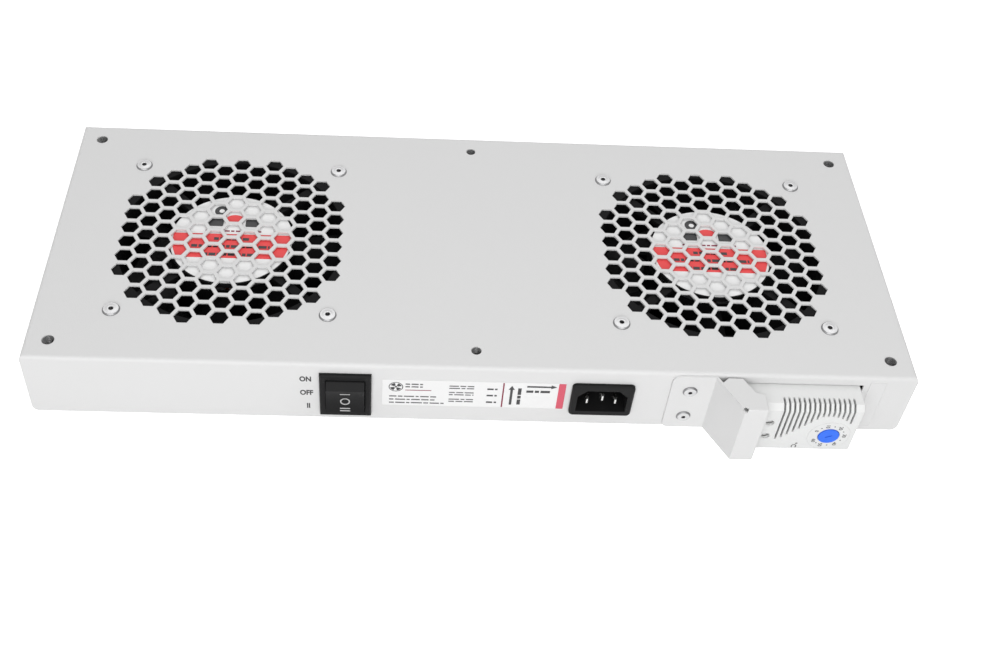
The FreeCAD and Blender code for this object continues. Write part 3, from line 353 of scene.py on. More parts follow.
def grain_group():
    """Fine moulded or sprayed grain: a height and a roughness that vary together."""
    group, entry, result = start_group(
        "surface_grain",
        [("Grain", "Float", 0.0005), ("Roughness", "Float", 0.5), ("Spread", "Float", 0.1)],
        [("Height", "Float"), ("Roughness", "Float")])
    place = node(group, "TexCoord")
    scale = math_node(group, "DIVIDE", 1.0, entry.outputs["Grain"])
    coarse = node(group, "TexNoise")
    coarse.inputs["Detail"].default_value = 3.0
    fine = node(group, "TexNoise")
    fine.inputs["Detail"].default_value = 1.0
    group.links.new(place.outputs["Object"], coarse.inputs["Vector"])
    group.links.new(place.outputs["Object"], fine.inputs["Vector"])
    group.links.new(scale, coarse.inputs["Scale"])
    group.links.new(math_node(group, "MULTIPLY", scale, FINE_SCALE), fine.inputs["Scale"])
    added = math_node(group, "MULTIPLY", fine.outputs["Fac"], FINE_SHARE)
    height = math_node(group, "ADD", coarse.outputs["Fac"], added)
    swing = math_node(group, "MULTIPLY", math_node(group, "SUBTRACT", coarse.outputs["Fac"], 0.5),
                      entry.outputs["Spread"])
    group.links.new(height, result.inputs["Height"])
    group.links.new(math_node(group, "ADD", entry.outputs["Roughness"], swing), result.inputs["Roughness"])
    return group


def tone_group():
    """Slow colour drift over a surface, as sprayed and moulded pieces have."""
    group, entry, result = start_group(
        "colour_drift",
        [("Color", "Color", (0.5, 0.5, 0.5, 1.0)), ("Scale", "Float", 14.0), ("Drift", "Float", 0.04)],
        [("Color", "Color")])
    place = node(group, "TexCoord")
    cloud = node(group, "TexNoise")
    cloud.inputs["Detail"].default_value = 4.0
    group.links.new(place.outputs["Object"], cloud.inputs["Vector"])
    group.links.new(entry.outputs["Scale"], cloud.inputs["Scale"])
    swing = math_node(group, "MULTIPLY", math_node(group, "SUBTRACT", cloud.outputs["Fac"], 0.5),
                      entry.outputs["Drift"])
    shade = node(group, "HueSaturation")
    group.links.new(math_node(group, "ADD", swing, 1.0), shade.inputs["Value"])
    group.links.new(entry.outputs["Color"], shade.inputs["Color"])
    group.links.new(shade.outputs["Color"], result.inputs["Color"])
    return group


def edge_group():
    """Rounded-over edges: a softened normal and a colour that pales where the finish thins."""
    group, entry, result = start_group(
        "worn_edge",
        [("Color", "Color", (0.5, 0.5, 0.5, 1.0)), ("Edge Color", "Color", (0.8, 0.8, 0.8, 1.0)),
         ("Wear", "Float", 0.3)],
        [("Color", "Color"), ("Normal", "Vector")])
    rounded = node(group, "Bevel", samples=4)
    rounded.inputs["Radius"].default_value = EDGE_RADIUS
    facing = node(group, "NewGeometry")
    dot = node(group, "VectorMath", operation="DOT_PRODUCT")
    group.links.new(rounded.outputs["Normal"], dot.inputs[0])
    group.links.new(facing.outputs["Normal"], dot.inputs[1])
    turned = math_node(group, "SUBTRACT", 1.0, dot.outputs["Value"])
    mask = math_node(group, "MULTIPLY", turned, EDGE_GAIN)
    kept = node(group, "Clamp")
    group.links.new(mask, kept.inputs["Value"])
    share = math_node(group, "MULTIPLY", kept.outputs["Result"], entry.outputs["Wear"])
    group.links.new(mix_colour(group, share, entry.outputs["Color"], entry.outputs["Edge Color"]),
                    result.inputs["Color"])
    group.links.new(rounded.outputs["Normal"], result.inputs["Normal"])
    return group


def dust_group():
    """A thin film of dust on what faces up, broken by a slow noise."""
    group, entry, result = start_group(
        "settled_dust",
        [("Color", "Color", (0.5, 0.5, 0.5, 1.0)), ("Amount", "Float", 0.05)],
        [("Color", "Color")])
    facing = node(group, "NewGeometry")
    split = node(group, "SeparateXYZ")
    group.links.new(facing.outputs["Normal"], split.inputs[0])
    upward = node(group, "Clamp")
    group.links.new(split.outputs["Z"], upward.inputs["Value"])
    place = node(group, "TexCoord")
    cloud = node(group, "TexNoise")
    cloud.inputs["Scale"].default_value = DUST_SCALE
    cloud.inputs["Detail"].default_value = 6.0
    group.links.new(place.outputs["Object"], cloud.inputs["Vector"])
    film = math_node(group, "MULTIPLY", upward.outputs["Result"], cloud.outputs["Fac"])
    share = math_node(group, "MULTIPLY", film, entry.outputs["Amount"])
    dusted = mix_colour(group, share, entry.outputs["Color"], DUST_COLOUR)
    group.links.new(dusted, result.inputs["Color"])
    return group


GROUP_MAKERS = {"grain": grain_group, "tone": tone_group, "edge": edge_group, "dust": dust_group}
GROUPS = {}


def shader_group(label):
    """Give a shared shader group, made the first time it is asked for."""
    if label not in GROUPS:
        GROUPS[label] = GROUP_MAKERS[label]()
    return GROUPS[label]


def place_group(tree, label, **values):
    """Put a shared group into a material with its own values."""
    made = tree.nodes.new("ShaderNodeGroup")
    made.node_tree = shader_group(label)
    for socket, value in values.items():
        made.inputs[socket.replace("_", " ")].default_value = value
    return made


def finish(name, colour, edge_colour=None, roughness=0.5, spread=0.1, grain=0.0005, depth=0.3, drift=0.03,
           drift_scale=14.0, wear=0.25, dust=0.0, metallic=0.0, coat=0.0, specular=0.5):
    """One surface finish: colour drift, edge wear, dust and grain round a plain shader."""
    if name in bpy.data.materials:
        return bpy.data.materials[name]
    made = bpy.data.materials.new(name)
    made.use_nodes = True
    tree = made.node_tree
    shader = tree.nodes["Principled BSDF"]
    shader.inputs["Metallic"].default_value = metallic
    shader.inputs["Coat Weight"].default_value = coat
    shader.inputs["Coat Roughness"].default_value = COAT_ROUGHNESS
    shader.inputs["Specular IOR Level"].default_value = specular
    base = (*colour[:3], 1.0)
    paler = edge_colour or [min(1.0, part * EDGE_PALER + EDGE_LIFT) for part in colour[:3]]
    pale = (*paler, 1.0)
    tone = place_group(tree, "tone", Color=base, Scale=drift_scale, Drift=drift)
    edge = place_group(tree, "edge", Edge_Color=pale, Wear=wear)
    film = place_group(tree, "dust", Amount=dust)
    touch = place_group(tree, "grain", Grain=grain, Roughness=roughness, Spread=spread)
    bump = node(tree, "Bump")
    bump.inputs["Strength"].default_value = depth
    bump.inputs["Distance"].default_value = grain * BUMP_SHARE
    tree.links.new(tone.outputs["Color"], edge.inputs["Color"])
    tree.links.new(edge.outputs["Color"], film.inputs["Color"])
    tree.links.new(film.outputs["Color"], shader.inputs["Base Color"])
    tree.links.new(touch.outputs["Roughness"], shader.inputs["Roughness"])
    tree.links.new(touch.outputs["Height"], bump.inputs["Height"])
    tree.links.new(edge.outputs["Normal"], bump.inputs["Normal"])
    tree.links.new(bump.outputs["Normal"], shader.inputs["Normal"])
    return made


# Finishes

def recipes(look):
    """What goes into each finish, by name."""
    print_coat = {"roughness": 0.4, "spread": 0.06, "grain": 0.0006, "depth": 0.05, "drift": 0.04,
                  "wear": 0.0, "specular": 0.25}
    ink_coat = {"roughness": 0.45, "spread": 0.1, "grain": 0.0003, "depth": 0.1, "drift": 0.15, "wear": 0.0}
    return {
        "powder_coat": {
            "colour": look.paint, "edge_colour": (0.86, 0.86, 0.86), "roughness": 0.42, "spread": 0.22,
            "grain": look.paint_grain, "depth": 0.5, "drift": 0.015, "wear": 0.35, "dust": 0.02},
        "cover_plastic": {
            "colour": look.cover_plastic, "edge_colour": (0.88, 0.88, 0.88), "roughness": 0.38,
            "spread": 0.1, "grain": 0.0003, "depth": 0.15, "drift": 0.012, "wear": 0.25},
        "black_gloss": {
            "colour": look.black_plastic, "roughness": 0.4, "spread": 0.12, "grain": 0.00035,
            "depth": 0.18, "drift": 0.1, "wear": 0.1, "dust": 0.01, "specular": 0.07},
        "black_mould": {
            "colour": (0.007, 0.007, 0.0075), "roughness": 0.46, "spread": 0.15, "grain": 0.0005,
            "depth": 0.2, "drift": 0.12, "wear": 0.1, "dust": 0.001, "specular": 0.02},
        "black_cast": {
            "colour": (0.010, 0.010, 0.0105), "roughness": 0.45, "spread": 0.2, "grain": 0.0007,
            "depth": 0.5, "drift": 0.12, "wear": 0.15, "dust": 0.002, "specular": 0.04},
        "zinc": {
            "colour": (0.50, 0.50, 0.51), "roughness": 0.34, "spread": 0.2, "grain": 0.0004,
            "depth": 0.25, "drift": 0.12, "drift_scale": 220.0, "wear": 0.3, "metallic": 1.0},
        "rivet_metal": {
            "colour": (0.58, 0.58, 0.585), "roughness": 0.4, "spread": 0.15, "grain": 0.0003,
            "depth": 0.2, "drift": 0.08, "drift_scale": 200.0, "wear": 0.1, "metallic": 0.6},
        # Darker copy of the rivet metal: painted shade in the recess and painted dark reflection on the
        # bevel
        "rivet_painted_shade": {
            "colour": (0.25, 0.25, 0.255), "roughness": 0.4, "spread": 0.15, "grain": 0.0003,
            "depth": 0.2, "drift": 0.2, "drift_scale": 300.0, "wear": 0.0, "metallic": 1.0},
        "brass": {
            "colour": (0.62, 0.43, 0.16), "roughness": 0.28, "spread": 0.15, "grain": 0.0003,
            "depth": 0.15, "drift": 0.1, "drift_scale": 180.0, "wear": 0.3, "metallic": 1.0},
        "pin_metal": {
            "colour": (0.60, 0.60, 0.59), "roughness": 0.24, "spread": 0.12, "grain": 0.0003,
            "depth": 0.12, "drift": 0.06, "drift_scale": 180.0, "wear": 0.2, "metallic": 1.0},
        "core_steel": {
            "colour": (0.30, 0.30, 0.31), "roughness": 0.42, "spread": 0.2, "grain": 0.0005,
            "depth": 0.3, "drift": 0.15, "drift_scale": 90.0, "wear": 0.2, "metallic": 1.0},
        "enamelled_copper": {
            "colour": (0.45, 0.13, 0.04), "roughness": 0.35, "spread": 0.2, "grain": 0.0004,
            "depth": 0.8, "drift": 0.2, "drift_scale": 300.0, "wear": 0.1, "metallic": 0.8},
        "label_film": {
            "colour": (0.82, 0.82, 0.82), "roughness": 0.3, "spread": 0.06, "grain": 0.0008,
            "depth": 0.06, "drift": 0.01, "wear": 0.0, "coat": 0.1},
        "dial_blue": {
            "colour": look.dial_blue, "edge_colour": (0.10, 0.28, 0.95), "roughness": 0.36,
            "spread": 0.08, "grain": 0.0003, "depth": 0.1, "drift": 0.03, "wear": 0.2, "specular": 0.25},
        "screw_zinc": {
            "colour": (0.74, 0.74, 0.74), "roughness": 0.4, "spread": 0.1, "grain": 0.0003,
            "depth": 0.1, "drift": 0.08, "drift_scale": 240.0, "wear": 0.2, "metallic": 0.7},
        # Steel far darker than the nuts' zinc: real threads, with painted shade down the screw holes
        "thread_steel_painted_shade": {
            "colour": (0.15, 0.15, 0.151), "roughness": 0.16, "spread": 0.1, "grain": 0.0003,
            "depth": 0.1, "drift": 0.1, "drift_scale": 260.0, "wear": 0.3, "metallic": 1.0},
        "clear_film": {
            "colour": (0.70, 0.70, 0.70), "roughness": 0.24, "spread": 0.05, "grain": 0.0008,
            "depth": 0.04, "drift": 0.01, "wear": 0.0, "coat": 0.15},
        "rocker_print": {
            "colour": (0.52, 0.52, 0.52), "roughness": 0.4, "spread": 0.1, "grain": 0.0003,
            "depth": 0.1, "drift": 0.08, "wear": 0.0},
        "band_red": {"colour": look.band_red, **print_coat},
        "bar_pink": {"colour": look.bar_pink, **print_coat},
        "wine_print": {"colour": (0.24, 0.02, 0.055), **print_coat},
        "ink": {"colour": look.ink, **ink_coat},
        "soft_ink": {"colour": (0.09, 0.09, 0.095), **ink_coat},
    }


def surface(name):
    """The finish of that name, in the colours that the user has set."""
    return finish(name, **recipes(bpy.context.scene.fan_tray)[name])


NODE_FINISH = {
    "tray": "powder_coat", "thermostat_guard": "powder_coat", "corner_nuts": "zinc", "edge_nuts": "zinc",
    "fan_rivets": "rivet_metal", "guard_rivets": "rivet_metal", "thermostat_rail": "zinc",
    "switch_body": "black_gloss", "switch_rocker": "black_gloss", "switch_terminals": "brass",
    "inlet_body": "black_gloss", "inlet_pins": "pin_metal", "thermostat_housing": "cover_plastic",
    "thermostat_base": "cover_plastic", "thermostat_terminals": "zinc", "thermostat_bimetal": "brass",
    "thermostat_dial": "dial_blue",
}
FAN_FINISH = {
    "frame": "black_cast", "label": "label_film", "stator": "core_steel", "coils": "enamelled_copper",
    "bearings": "brass", "terminals": "zinc", "impeller": "black_mould", "rotor_cup": "core_steel",
    "shaft": "core_steel", "clip": "core_steel",
}


def finish_of(name):
    """Name the finish that a solid of the tray wears."""
    if name in NODE_FINISH:
        return NODE_FINISH[name]
    return FAN_FINISH[name.split("_", 2)[2]]


# Thin pieces drawn on a face

def on_front(level):
    """Place drawings on a face that looks to the front: across, up and out of it, in millimetres."""
    return lambda u, v, w: Vector((u * MM, level * MM - w, v * MM))


def on_top(level):
    """Place drawings on a face that looks up."""
    return lambda u, v, w: Vector((u * MM, v * MM, level * MM + w))


def on_rocker():
    """Place drawings on the rocker's dished pad."""
    middle, height = ROCKER_MIDDLE
    rim = math.sqrt(DISH_RADIUS ** 2 - PAD_HALF ** 2)

    def put(u, v, w):
        drop = math.sqrt(DISH_RADIUS ** 2 - v ** 2) - rim
        return Vector(((middle + u) * MM, (PAD_FRONT + drop) * MM - w, (height + v) * MM))
    return put


def join_rims(build, first, second):
    """Close the gap between two rims with the same number of corners."""
    count = len(first)
    for index in range(count):
        after = (index + 1) % count
        build.faces.new((first[index], first[after], second[after], second[index]))


def keep_piece(name, build, look, body):
    """Turn a finished mesh into a piece that rides on its body."""
    bmesh.ops.recalc_face_normals(build, faces=build.faces[:])
    mesh = bpy.data.meshes.new(name)
    build.to_mesh(mesh)
    build.free()
    mesh.materials.append(surface(look))
    piece = bpy.data.objects.new(name, mesh)
    bpy.context.scene.collection.objects.link(piece)
    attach(piece, body)
    return piece


def drawing(name, shapes, place, look, rise=PRINT_RISE, body=TRAY):
    """Thin raised shapes in one mesh. Each is a closed outline, or a pair of outlines for a ring."""
    build = bmesh.new()
    for shape in shapes:
        rings = shape if isinstance(shape, tuple) else (shape,)
        rims = [[[build.verts.new(place(u, v, w)) for u, v in ring] for w in (-rise, rise)]
                for ring in rings]
        for low, high in rims:
            join_rims(build, low, high)
        if len(rims) == 1:
            build.faces.new(rims[0][0])
            build.faces.new(rims[0][1])
        else:
            join_rims(build, rims[0][0], rims[1][0])
            join_rims(build, rims[0][1], rims[1][1])
    return keep_piece(name, build, look, body)


def circle(x, y, radius, count=48, squash=1.0):
    """Points round a circle, or an oval when squashed along its second axis."""
    turns = [2 * math.pi * index / count for index in range(count)]
    return [(x + radius * math.cos(turn), y + squash * radius * math.sin(turn)) for turn in turns]


def bar(x0, y0, x1, y1):
    """A rectangle between two corners."""
    return [(x0, y0), (x1, y0), (x1, y1), (x0, y1)]


def fine_bar(x0, y0, x1, y1, count=8):
    """A rectangle whose long sides are cut into short runs, to follow a curved face."""
    steps = [x0 + (x1 - x0) * index / count for index in range(count + 1)]
    return [(x, y0) for x in steps] + [(x, y1) for x in reversed(steps)]


def rounded_bar(x0, y0, x1, y1, radius, count=6):
    """A rectangle with round corners."""
    points = []
    for corner, (x, y) in enumerate(((x1 - radius, y1 - radius), (x0 + radius, y1 - radius),
                                     (x0 + radius, y0 + radius), (x1 - radius, y0 + radius))):
        for index in range(count + 1):
            turn = math.pi / 2 * (corner + index / count)
            points.append((x + radius * math.cos(turn), y + radius * math.sin(turn)))
    return points


def arrow(x0, y0, x1, y1, width, head):
    """A straight arrow from the first point to the second."""
    start, end = Vector((x0, y0)), Vector((x1, y1))
    along = (end - start).normalized()
    across = Vector((-along.y, along.x))
    neck = end - along * head
    corners = (start + across * width / 2, start - across * width / 2, neck - across * width / 2,
               neck - across * head * 0.5, end, neck + across * head * 0.5, neck + across * width / 2)
    return [tuple(point) for point in corners]


def disc_band(x, y, radius, low, high, count=16):
    """The part of a disc between two levels."""
    first, last = math.asin(low / radius), math.asin(high / radius)
    turns = [first + (last - first) * index / count for index in range(count + 1)]
    return ([(x + radius * math.cos(turn), y + radius * math.sin(turn)) for turn in turns]
            + [(x - radius * math.cos(turn), y + radius * math.sin(turn)) for turn in reversed(turns)])


def arc_band(x, y, inner, outer, start, end, count=12):
    """A stretch of a ring between two angles in degrees."""
    turns = [math.radians(start + (end - start) * index / count) for index in range(count + 1)]
    return ([(x + outer * math.cos(turn), y + outer * math.sin(turn)) for turn in turns]
            + [(x + inner * math.cos(turn), y + inner * math.sin(turn)) for turn in reversed(turns)])


def hoop(x, y, radii, count=48):
    """A pair of circles with the space between them filled."""
    return tuple(circle(x, y, radius, count) for radius in radii)


def lettering(name, words, place, height, turn=0.0, weight=0.0, squeeze=1.0):
    """Printed letters: each word is its text and the place of its middle across and up."""
    build = bmesh.new()
    spin = Matrix.Rotation(math.radians(turn), 3, "Z")
    for text, across, up in words:
        line = bpy.data.curves.new(name + "_line", "FONT")
        line.body = text
        line.size = height / CAPITALS
        line.align_x = "CENTER"
        line.align_y = "CENTER"
        line.extrude = PRINT_RISE
        line.offset = weight
        line.resolution_u = 4
        holder = bpy.data.objects.new(name + "_line", line)
        mesh = bpy.data.meshes.new_from_object(holder)
        for vertex in mesh.vertices:
            spot = spin @ Vector((vertex.co.x * squeeze, vertex.co.y, vertex.co.z))
            vertex.co = place(across + spot.x / MM, up + spot.y / MM, spot.z)
        build.from_mesh(mesh)
        bpy.data.objects.remove(holder)
        bpy.data.curves.remove(line)
        bpy.data.meshes.remove(mesh)
    return keep_piece(name, build, "ink", TRAY)


def turned_rivet(build, middle, axis, head, shank, grip):
    """Add a set blind rivet: a bevelled head with a recess, a shank and a bulb behind; bevel and recess
    take the second, darker metal as painted shade.
    """
    across = Vector(UP).rotation_difference(Vector(axis)).to_matrix()
    collar = head * RIVET_COLLAR
    face = RIVET_RISE * RIVET_FLAT
    hole = head * RIVET_RECESS
    recess = [*MANDREL, (hole - HOLE_TAPER, MANDREL[-1][1]), (hole, RIVET_RISE - LIP_DROP)]
    flat = [(hole + LIP_WIDTH, RIVET_RISE), (collar - COLLAR_TURN[0], RIVET_RISE * COLLAR_FALL),
            (collar - COLLAR_TURN[1], face)]
    bevel = [(head - RIVET_BEVEL, face), *((head - inside, rise) for inside, rise in HEAD_EDGE)]
    behind = [(shank, 0.0), (shank, -grip), *((shank * share, -grip - far) for share, far in BULB)]
    rims = []
    for radius, rise in recess + flat + bevel + behind:
        rim = []
        for x, y in circle(0.0, 0.0, radius, RIVET_CORNERS):
            rim.append(build.verts.new((Vector(middle) + across @ Vector((x, y, rise))) * MM))
        rims.append(rim)
    rounded = len(recess + flat)
    # Recess and bevel faces get the darker metal: painted shade in the recess and painted dark reflection
    # on the bevel
    painted_shade = [*range(len(recess) - 1), *range(rounded, rounded + len(bevel) - 1)]
    build.faces.new(rims[0]).material_index = 1
    for index, (first, second) in enumerate(zip(rims, rims[1:])):
        known = len(build.faces)
        join_rims(build, first, second)
        build.faces.ensure_lookup_table()
        for shape in build.faces[known:]:
            shape.material_index = int(index in painted_shade)
    build.faces.new(rims[-1])


def lofted_bar(build, x, z, sections):
    """Add a bar along the depth: each section is a place and half its width and height."""
    rims = []
    for depth, across, up in sections:
        rims.append([build.verts.new(Vector((x + side * across, depth, z + level * up)) * MM)
                     for side, level in ((-1, -1), (1, -1), (1, 1), (-1, 1))])
    for first, second in zip(rims, rims[1:]):
        join_rims(build, first, second)
    build.faces.new(rims[0])
    build.faces.new(rims[-1])


def screw_thread(build, x, y, radius, top, bottom, count=24):
    """Add the ridge of an inside thread: a wedge that winds down the wall of a hole."""
    steps = round((top - bottom) / THREAD_PITCH * count)
    foot, crest = THREAD_PITCH * THREAD_FOOT, THREAD_PITCH * THREAD_CREST
    wedge = ((radius - THREAD_CLEAR, foot), (radius - THREAD_CLEAR, -foot),
             (radius - THREAD_DEPTH, -crest), (radius - THREAD_DEPTH, crest))
    before = None
    for index in range(steps + 1):
        turn = 2 * math.pi * index / count
        level = top - (top - bottom) * index / steps
        rim = []
        for out, rise in wedge:
            place = Vector((x + out * math.cos(turn), y + out * math.sin(turn), level + rise))
            rim.append(build.verts.new(place * MM))
        if before is None:
            build.faces.new(rim)
        else:
            join_rims(build, before, rim)
        before = rim
    build.faces.new(before)


def print_rows(x0, x1, levels, height, runs):
    """Rows of short bars of uneven length, as plain print seen from afar."""
    shapes = []
    count = 0
    for level in levels:
        x = x0
        while x < x1:
            length = min(runs[count % len(runs)], x1 - x)
            shapes.append(bar(x, level - height / 2, x + length, level + height / 2))
            x += length + BAR_GAP
            count += 1
    return shapes


def shifted_row(x, y, row):
    """Print one row whose ends and level are counted from a middle."""
    left, right, level, height, runs = row
    return print_rows(x + left, x + right, (y + level,), height, runs)


# Steps

class FANTRAY_OT_finishes(bpy.types.Operator):
    """Give every solid of the tray its finish"""
    bl_idname = "fantray.finishes"
    bl_label = "Finish the solids"

    def execute(self, context):
        for name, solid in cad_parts.items():
            solid.data.materials.clear()
            solid.data.materials.append(surface(finish_of(name)))
        return {"FINISHED"}


class FANTRAY_OT_rivets(bpy.types.Operator):
    """Set rivets with bevelled heads in place of the plain ones"""
    bl_idname = "fantray.rivets"
    bl_label = "Rivets"

    def execute(self, context):
        for label, heads in (("fan_rivets", FAN_RIVETS), ("guard_rivets", GUARD_RIVETS)):
            build = bmesh.new()
            for rivet in heads:
                turned_rivet(build, *rivet)
            piece = keep_piece(label + "_set", build, "rivet_metal", TRAY)
            # Darker second metal for bevel and recess: painted shade and painted dark reflection
            piece.data.materials.append(surface("rivet_painted_shade"))
            for face in piece.data.polygons:
                face.use_smooth = True
            piece.data.set_sharp_from_angle(angle=math.radians(RIVET_CREASE))
            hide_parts(label)
        return {"FINISHED"}


class FANTRAY_OT_pins(bpy.types.Operator):
    """Set pins with tapered tips in the mains socket"""
    bl_idname = "fantray.pins"
    bl_label = "Inlet pins"

    def execute(self, context):
        build = bmesh.new()
        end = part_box("inlet_pins")[1].y / MM
        x, z = INLET_MIDDLE
        for across, up, tip in ((-PIN_SPACING, -PIN_OFFSET, PIN_TIP), (0.0, PIN_OFFSET, EARTH_TIP),
                                (PIN_SPACING, -PIN_OFFSET, PIN_TIP)):
            blade = [(tip, *PIN_POINT), (tip + PIN_TAPER, *PIN_HALF), (PIN_SEAT, *PIN_HALF)]
            lofted_bar(build, x + across, z + up, blade)
            lofted_bar(build, x + across, z + up, [(PIN_SEAT, *TAB_HALF), (end, *TAB_HALF)])
        piece = keep_piece("inlet_pins_set", build, "pin_metal", TRAY)
        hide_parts("inlet_pins")
        return {"FINISHED"}


class FANTRAY_OT_screw_heads(bpy.types.Operator):
    """Set slotted heads on the terminal screws, in the cover's access holes"""
    bl_idname = "fantray.screw_heads"
    bl_label = "Terminal screws"

    def execute(self, context):
        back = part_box("thermostat_terminals")[0].y / MM
        front = SCREW_FACE + SCREW_CUT
        discs = [circle(x, z, SCREW_RADIUS, count=32) for x, z in SCREW_PLACES]
        drawing("terminal_screw_stems", discs, on_front((front + back) / 2), "screw_zinc",
                (back - front) / 2 * MM)
        rim = SCREW_RADIUS * SCREW_REACH
        halves = [[(x + u, z + v) for u, v in disc_band(0.0, 0.0, SCREW_RADIUS, low, high)]
                  for x, z in SCREW_PLACES for low, high in ((SCREW_SLOT, rim), (-rim, -SCREW_SLOT))]
        drawing("terminal_screw_heads", halves, on_front((SCREW_FACE + front) / 2), "screw_zinc",
                SCREW_CUT / 2 * MM)
        return {"FINISHED"}


class FANTRAY_OT_threads(bpy.types.Operator):
    """Wind a thread down each screw hole"""
    bl_idname = "fantray.threads"
    bl_label = "Threads"

    def execute(self, context):
        for label, sides, radius in (("corner", (-1, 1), CORNER_THREAD), ("edge", (0,), EDGE_THREAD)):
            build = bmesh.new()
            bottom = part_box(label + "_nuts")[0].z / MM
            for side in sides:
                for along in (-1, 1):
                    screw_thread(build, side * SCREW_OUT, along * SCREW_BACK, radius, THREAD_TOP,
                                 bottom + THREAD_END)
            # Threads in dark steel: real threads, with painted shade down the screw holes
            keep_piece(label + "_threads", build, "thread_steel_painted_shade", TRAY)
        return {"FINISHED"}


class FANTRAY_OT_front_label(bpy.types.Operator):
    """Stick the white label with its arrows and its coloured bar on the panel"""
    bl_idname = "fantray.front_label"
    bl_label = "Front label"

    def execute(self, context):
        film = on_front(PANEL_FACE - FILM_RISE / MM)
        drawing("front_label", [rounded_bar(*LABEL_FILM)], on_front(PANEL_FACE), "label_film", FILM_RISE)
        drawing("front_label_bar", [bar(*LABEL_BAR)], film, "bar_pink")
        drawing("front_label_line", [bar(*line) for line in LABEL_LINES], film, "wine_print")
        drawing("front_label_arrows", [arrow(*each) for each in LABEL_ARROWS], film, "ink")
        x, z = SIGN_MIDDLE
        sign = [hoop(x, z, SIGN_RING), circle(x, z, SIGN_HUB, count=16)]
        sign += [arc_band(x, z, *SIGN_BLADE, start, start + BLADE_SWEEP) for start in BLADE_STARTS]
        drawing("front_label_symbol", sign, film, "ink")
        drawing("front_label_print", [each for row in SOFT_ROWS for each in print_rows(*row)], film,
                "soft_ink")
        bold = [each for row in BOLD_ROWS for each in print_rows(*row)]
        drawing("front_label_values", bold + [bar(*each) for each in UPRIGHT_BARS], film, "ink")
        return {"FINISHED"}


class FANTRAY_OT_side_sticker(bpy.types.Operator):
    """Stick the bare film strip beside the thermostat"""
    bl_idname = "fantray.side_sticker"
    bl_label = "Side sticker"

    def execute(self, context):
        drawing("side_sticker", [rounded_bar(*STICKER)], on_front(PANEL_FACE), "clear_film", FILM_RISE)
        return {"FINISHED"}


class FANTRAY_OT_switch_marks(bpy.types.Operator):
    """Print the words beside the switch and the marks on its rocker"""
    bl_idname = "fantray.switch_marks"
    bl_label = "Switch marks"

    def execute(self, context):
        lettering("switch_words", SWITCH_WORDS, on_front(PANEL_FACE),
                  context.scene.fan_tray.letter_height, weight=WORD_WEIGHT, squeeze=WORD_SQUEEZE)
        level, *radii = ROCKER_RING
        marks = [fine_bar(*each) for each in ROCKER_BARS] + [hoop(0.0, level, radii)]
        drawing("rocker_marks", marks, on_rocker(), "rocker_print", body="rocker")
        return {"FINISHED"}


class FANTRAY_OT_thermostat_scale(bpy.types.Operator):
    """Print the scale round the setting dial"""
    bl_idname = "fantray.thermostat_scale"
    bl_label = "Thermostat scale"

    def execute(self, context):
        face = on_front(COVER_FACE)
        x, z = DIAL_MIDDLE

        def spot(turn, out):
            return x + out * math.cos(math.radians(turn)), z + out * math.sin(math.radians(turn))
        numbers = [(str(10 * index), *spot(turn, NUMBER_OUT)) for index, turn in enumerate(SCALE_TURNS)]
        lettering("scale_numbers", numbers, face, NUMBER_HEIGHT, turn=-90.0, weight=NUMBER_WEIGHT)
        dots = [circle(*spot((first + second) / 2, DOT_OUT), DOT_RADIUS, count=12)
                for first, second in zip(SCALE_TURNS, SCALE_TURNS[1:])]
        drawing("scale_dots", dots, face, "ink")
        lettering("scale_unit", [UNIT], face, UNIT_HEIGHT, turn=-90.0, weight=UNIT_WEIGHT)
        drawing("scale_ring", [hoop(x, z, SCALE_RING, count=64)], face, "cover_plastic")
        return {"FINISHED"}


class FANTRAY_OT_fan_labels(bpy.types.Operator):
    """Print a plain band and marks on the round labels of the fans"""
    bl_idname = "fantray.fan_labels"
    bl_label = "Fan labels"

    def execute(self, context):
        for side in ("left", "right"):
            label = "fan_%s_label" % side
            low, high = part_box(label)
            x, y = (low.x + high.x) / 2 / MM, (low.y + high.y) / 2 / MM
            radius = (high.x - low.x) / 2 / MM - RIM
            top = on_top(high.z / MM)
            drawing(label + "_band", [disc_band(x, y, radius, *BAND_LEVELS)], top, "band_red")
            drawing(label + "_line", shifted_row(x, y, LINE_ROW), top, "wine_print")
            marks = [rounded_bar(x + left, y + low_end, x + right, y + high_end, TAG_CORNER)
                     for left, low_end, right, high_end in TAGS]
            marks.append(hoop(x + EYE_MIDDLE[0], y + EYE_MIDDLE[1], EYE_RADII))
            drawing(label + "_marks", marks, top, "ink")
            dot = circle(x + OVAL_MIDDLE[0], y + OVAL_MIDDLE[1], OVAL_RADIUS, count=32,
                         squash=OVAL_FLATNESS)
            drawing(label + "_dot", [dot], top, "band_red")
            rows = [each for row in BAND_ROWS for each in shifted_row(x, y, row)]
            drawing(label + "_print", rows, on_top(high.z / MM + PRINT_RISE / MM), "ink")
        return {"FINISHED"}


def area_lamp(name, place, aim, width, height, power):
    """A soft rectangular lamp aimed at a point."""
    lamp = bpy.data.lights.new(name, "AREA")
    lamp.shape = "RECTANGLE"
    lamp.size = width
    lamp.size_y = height
    lamp.energy = power
    holder = bpy.data.objects.new(name, lamp)
    holder.location = place
    holder.rotation_euler = (Vector(aim) - Vector(place)).to_track_quat("-Z", "Y").to_euler()
    bpy.context.scene.collection.objects.link(holder)


def seen_rays(tree):
    """A mask of the rays that show the background: straight, mirrored and through glass."""
    path = node(tree, "LightPath")
    seen = math_node(tree, "MAXIMUM", path.outputs["Is Camera Ray"], path.outputs["Is Glossy Ray"])
    return math_node(tree, "MAXIMUM", seen, path.outputs["Is Transmission Ray"])


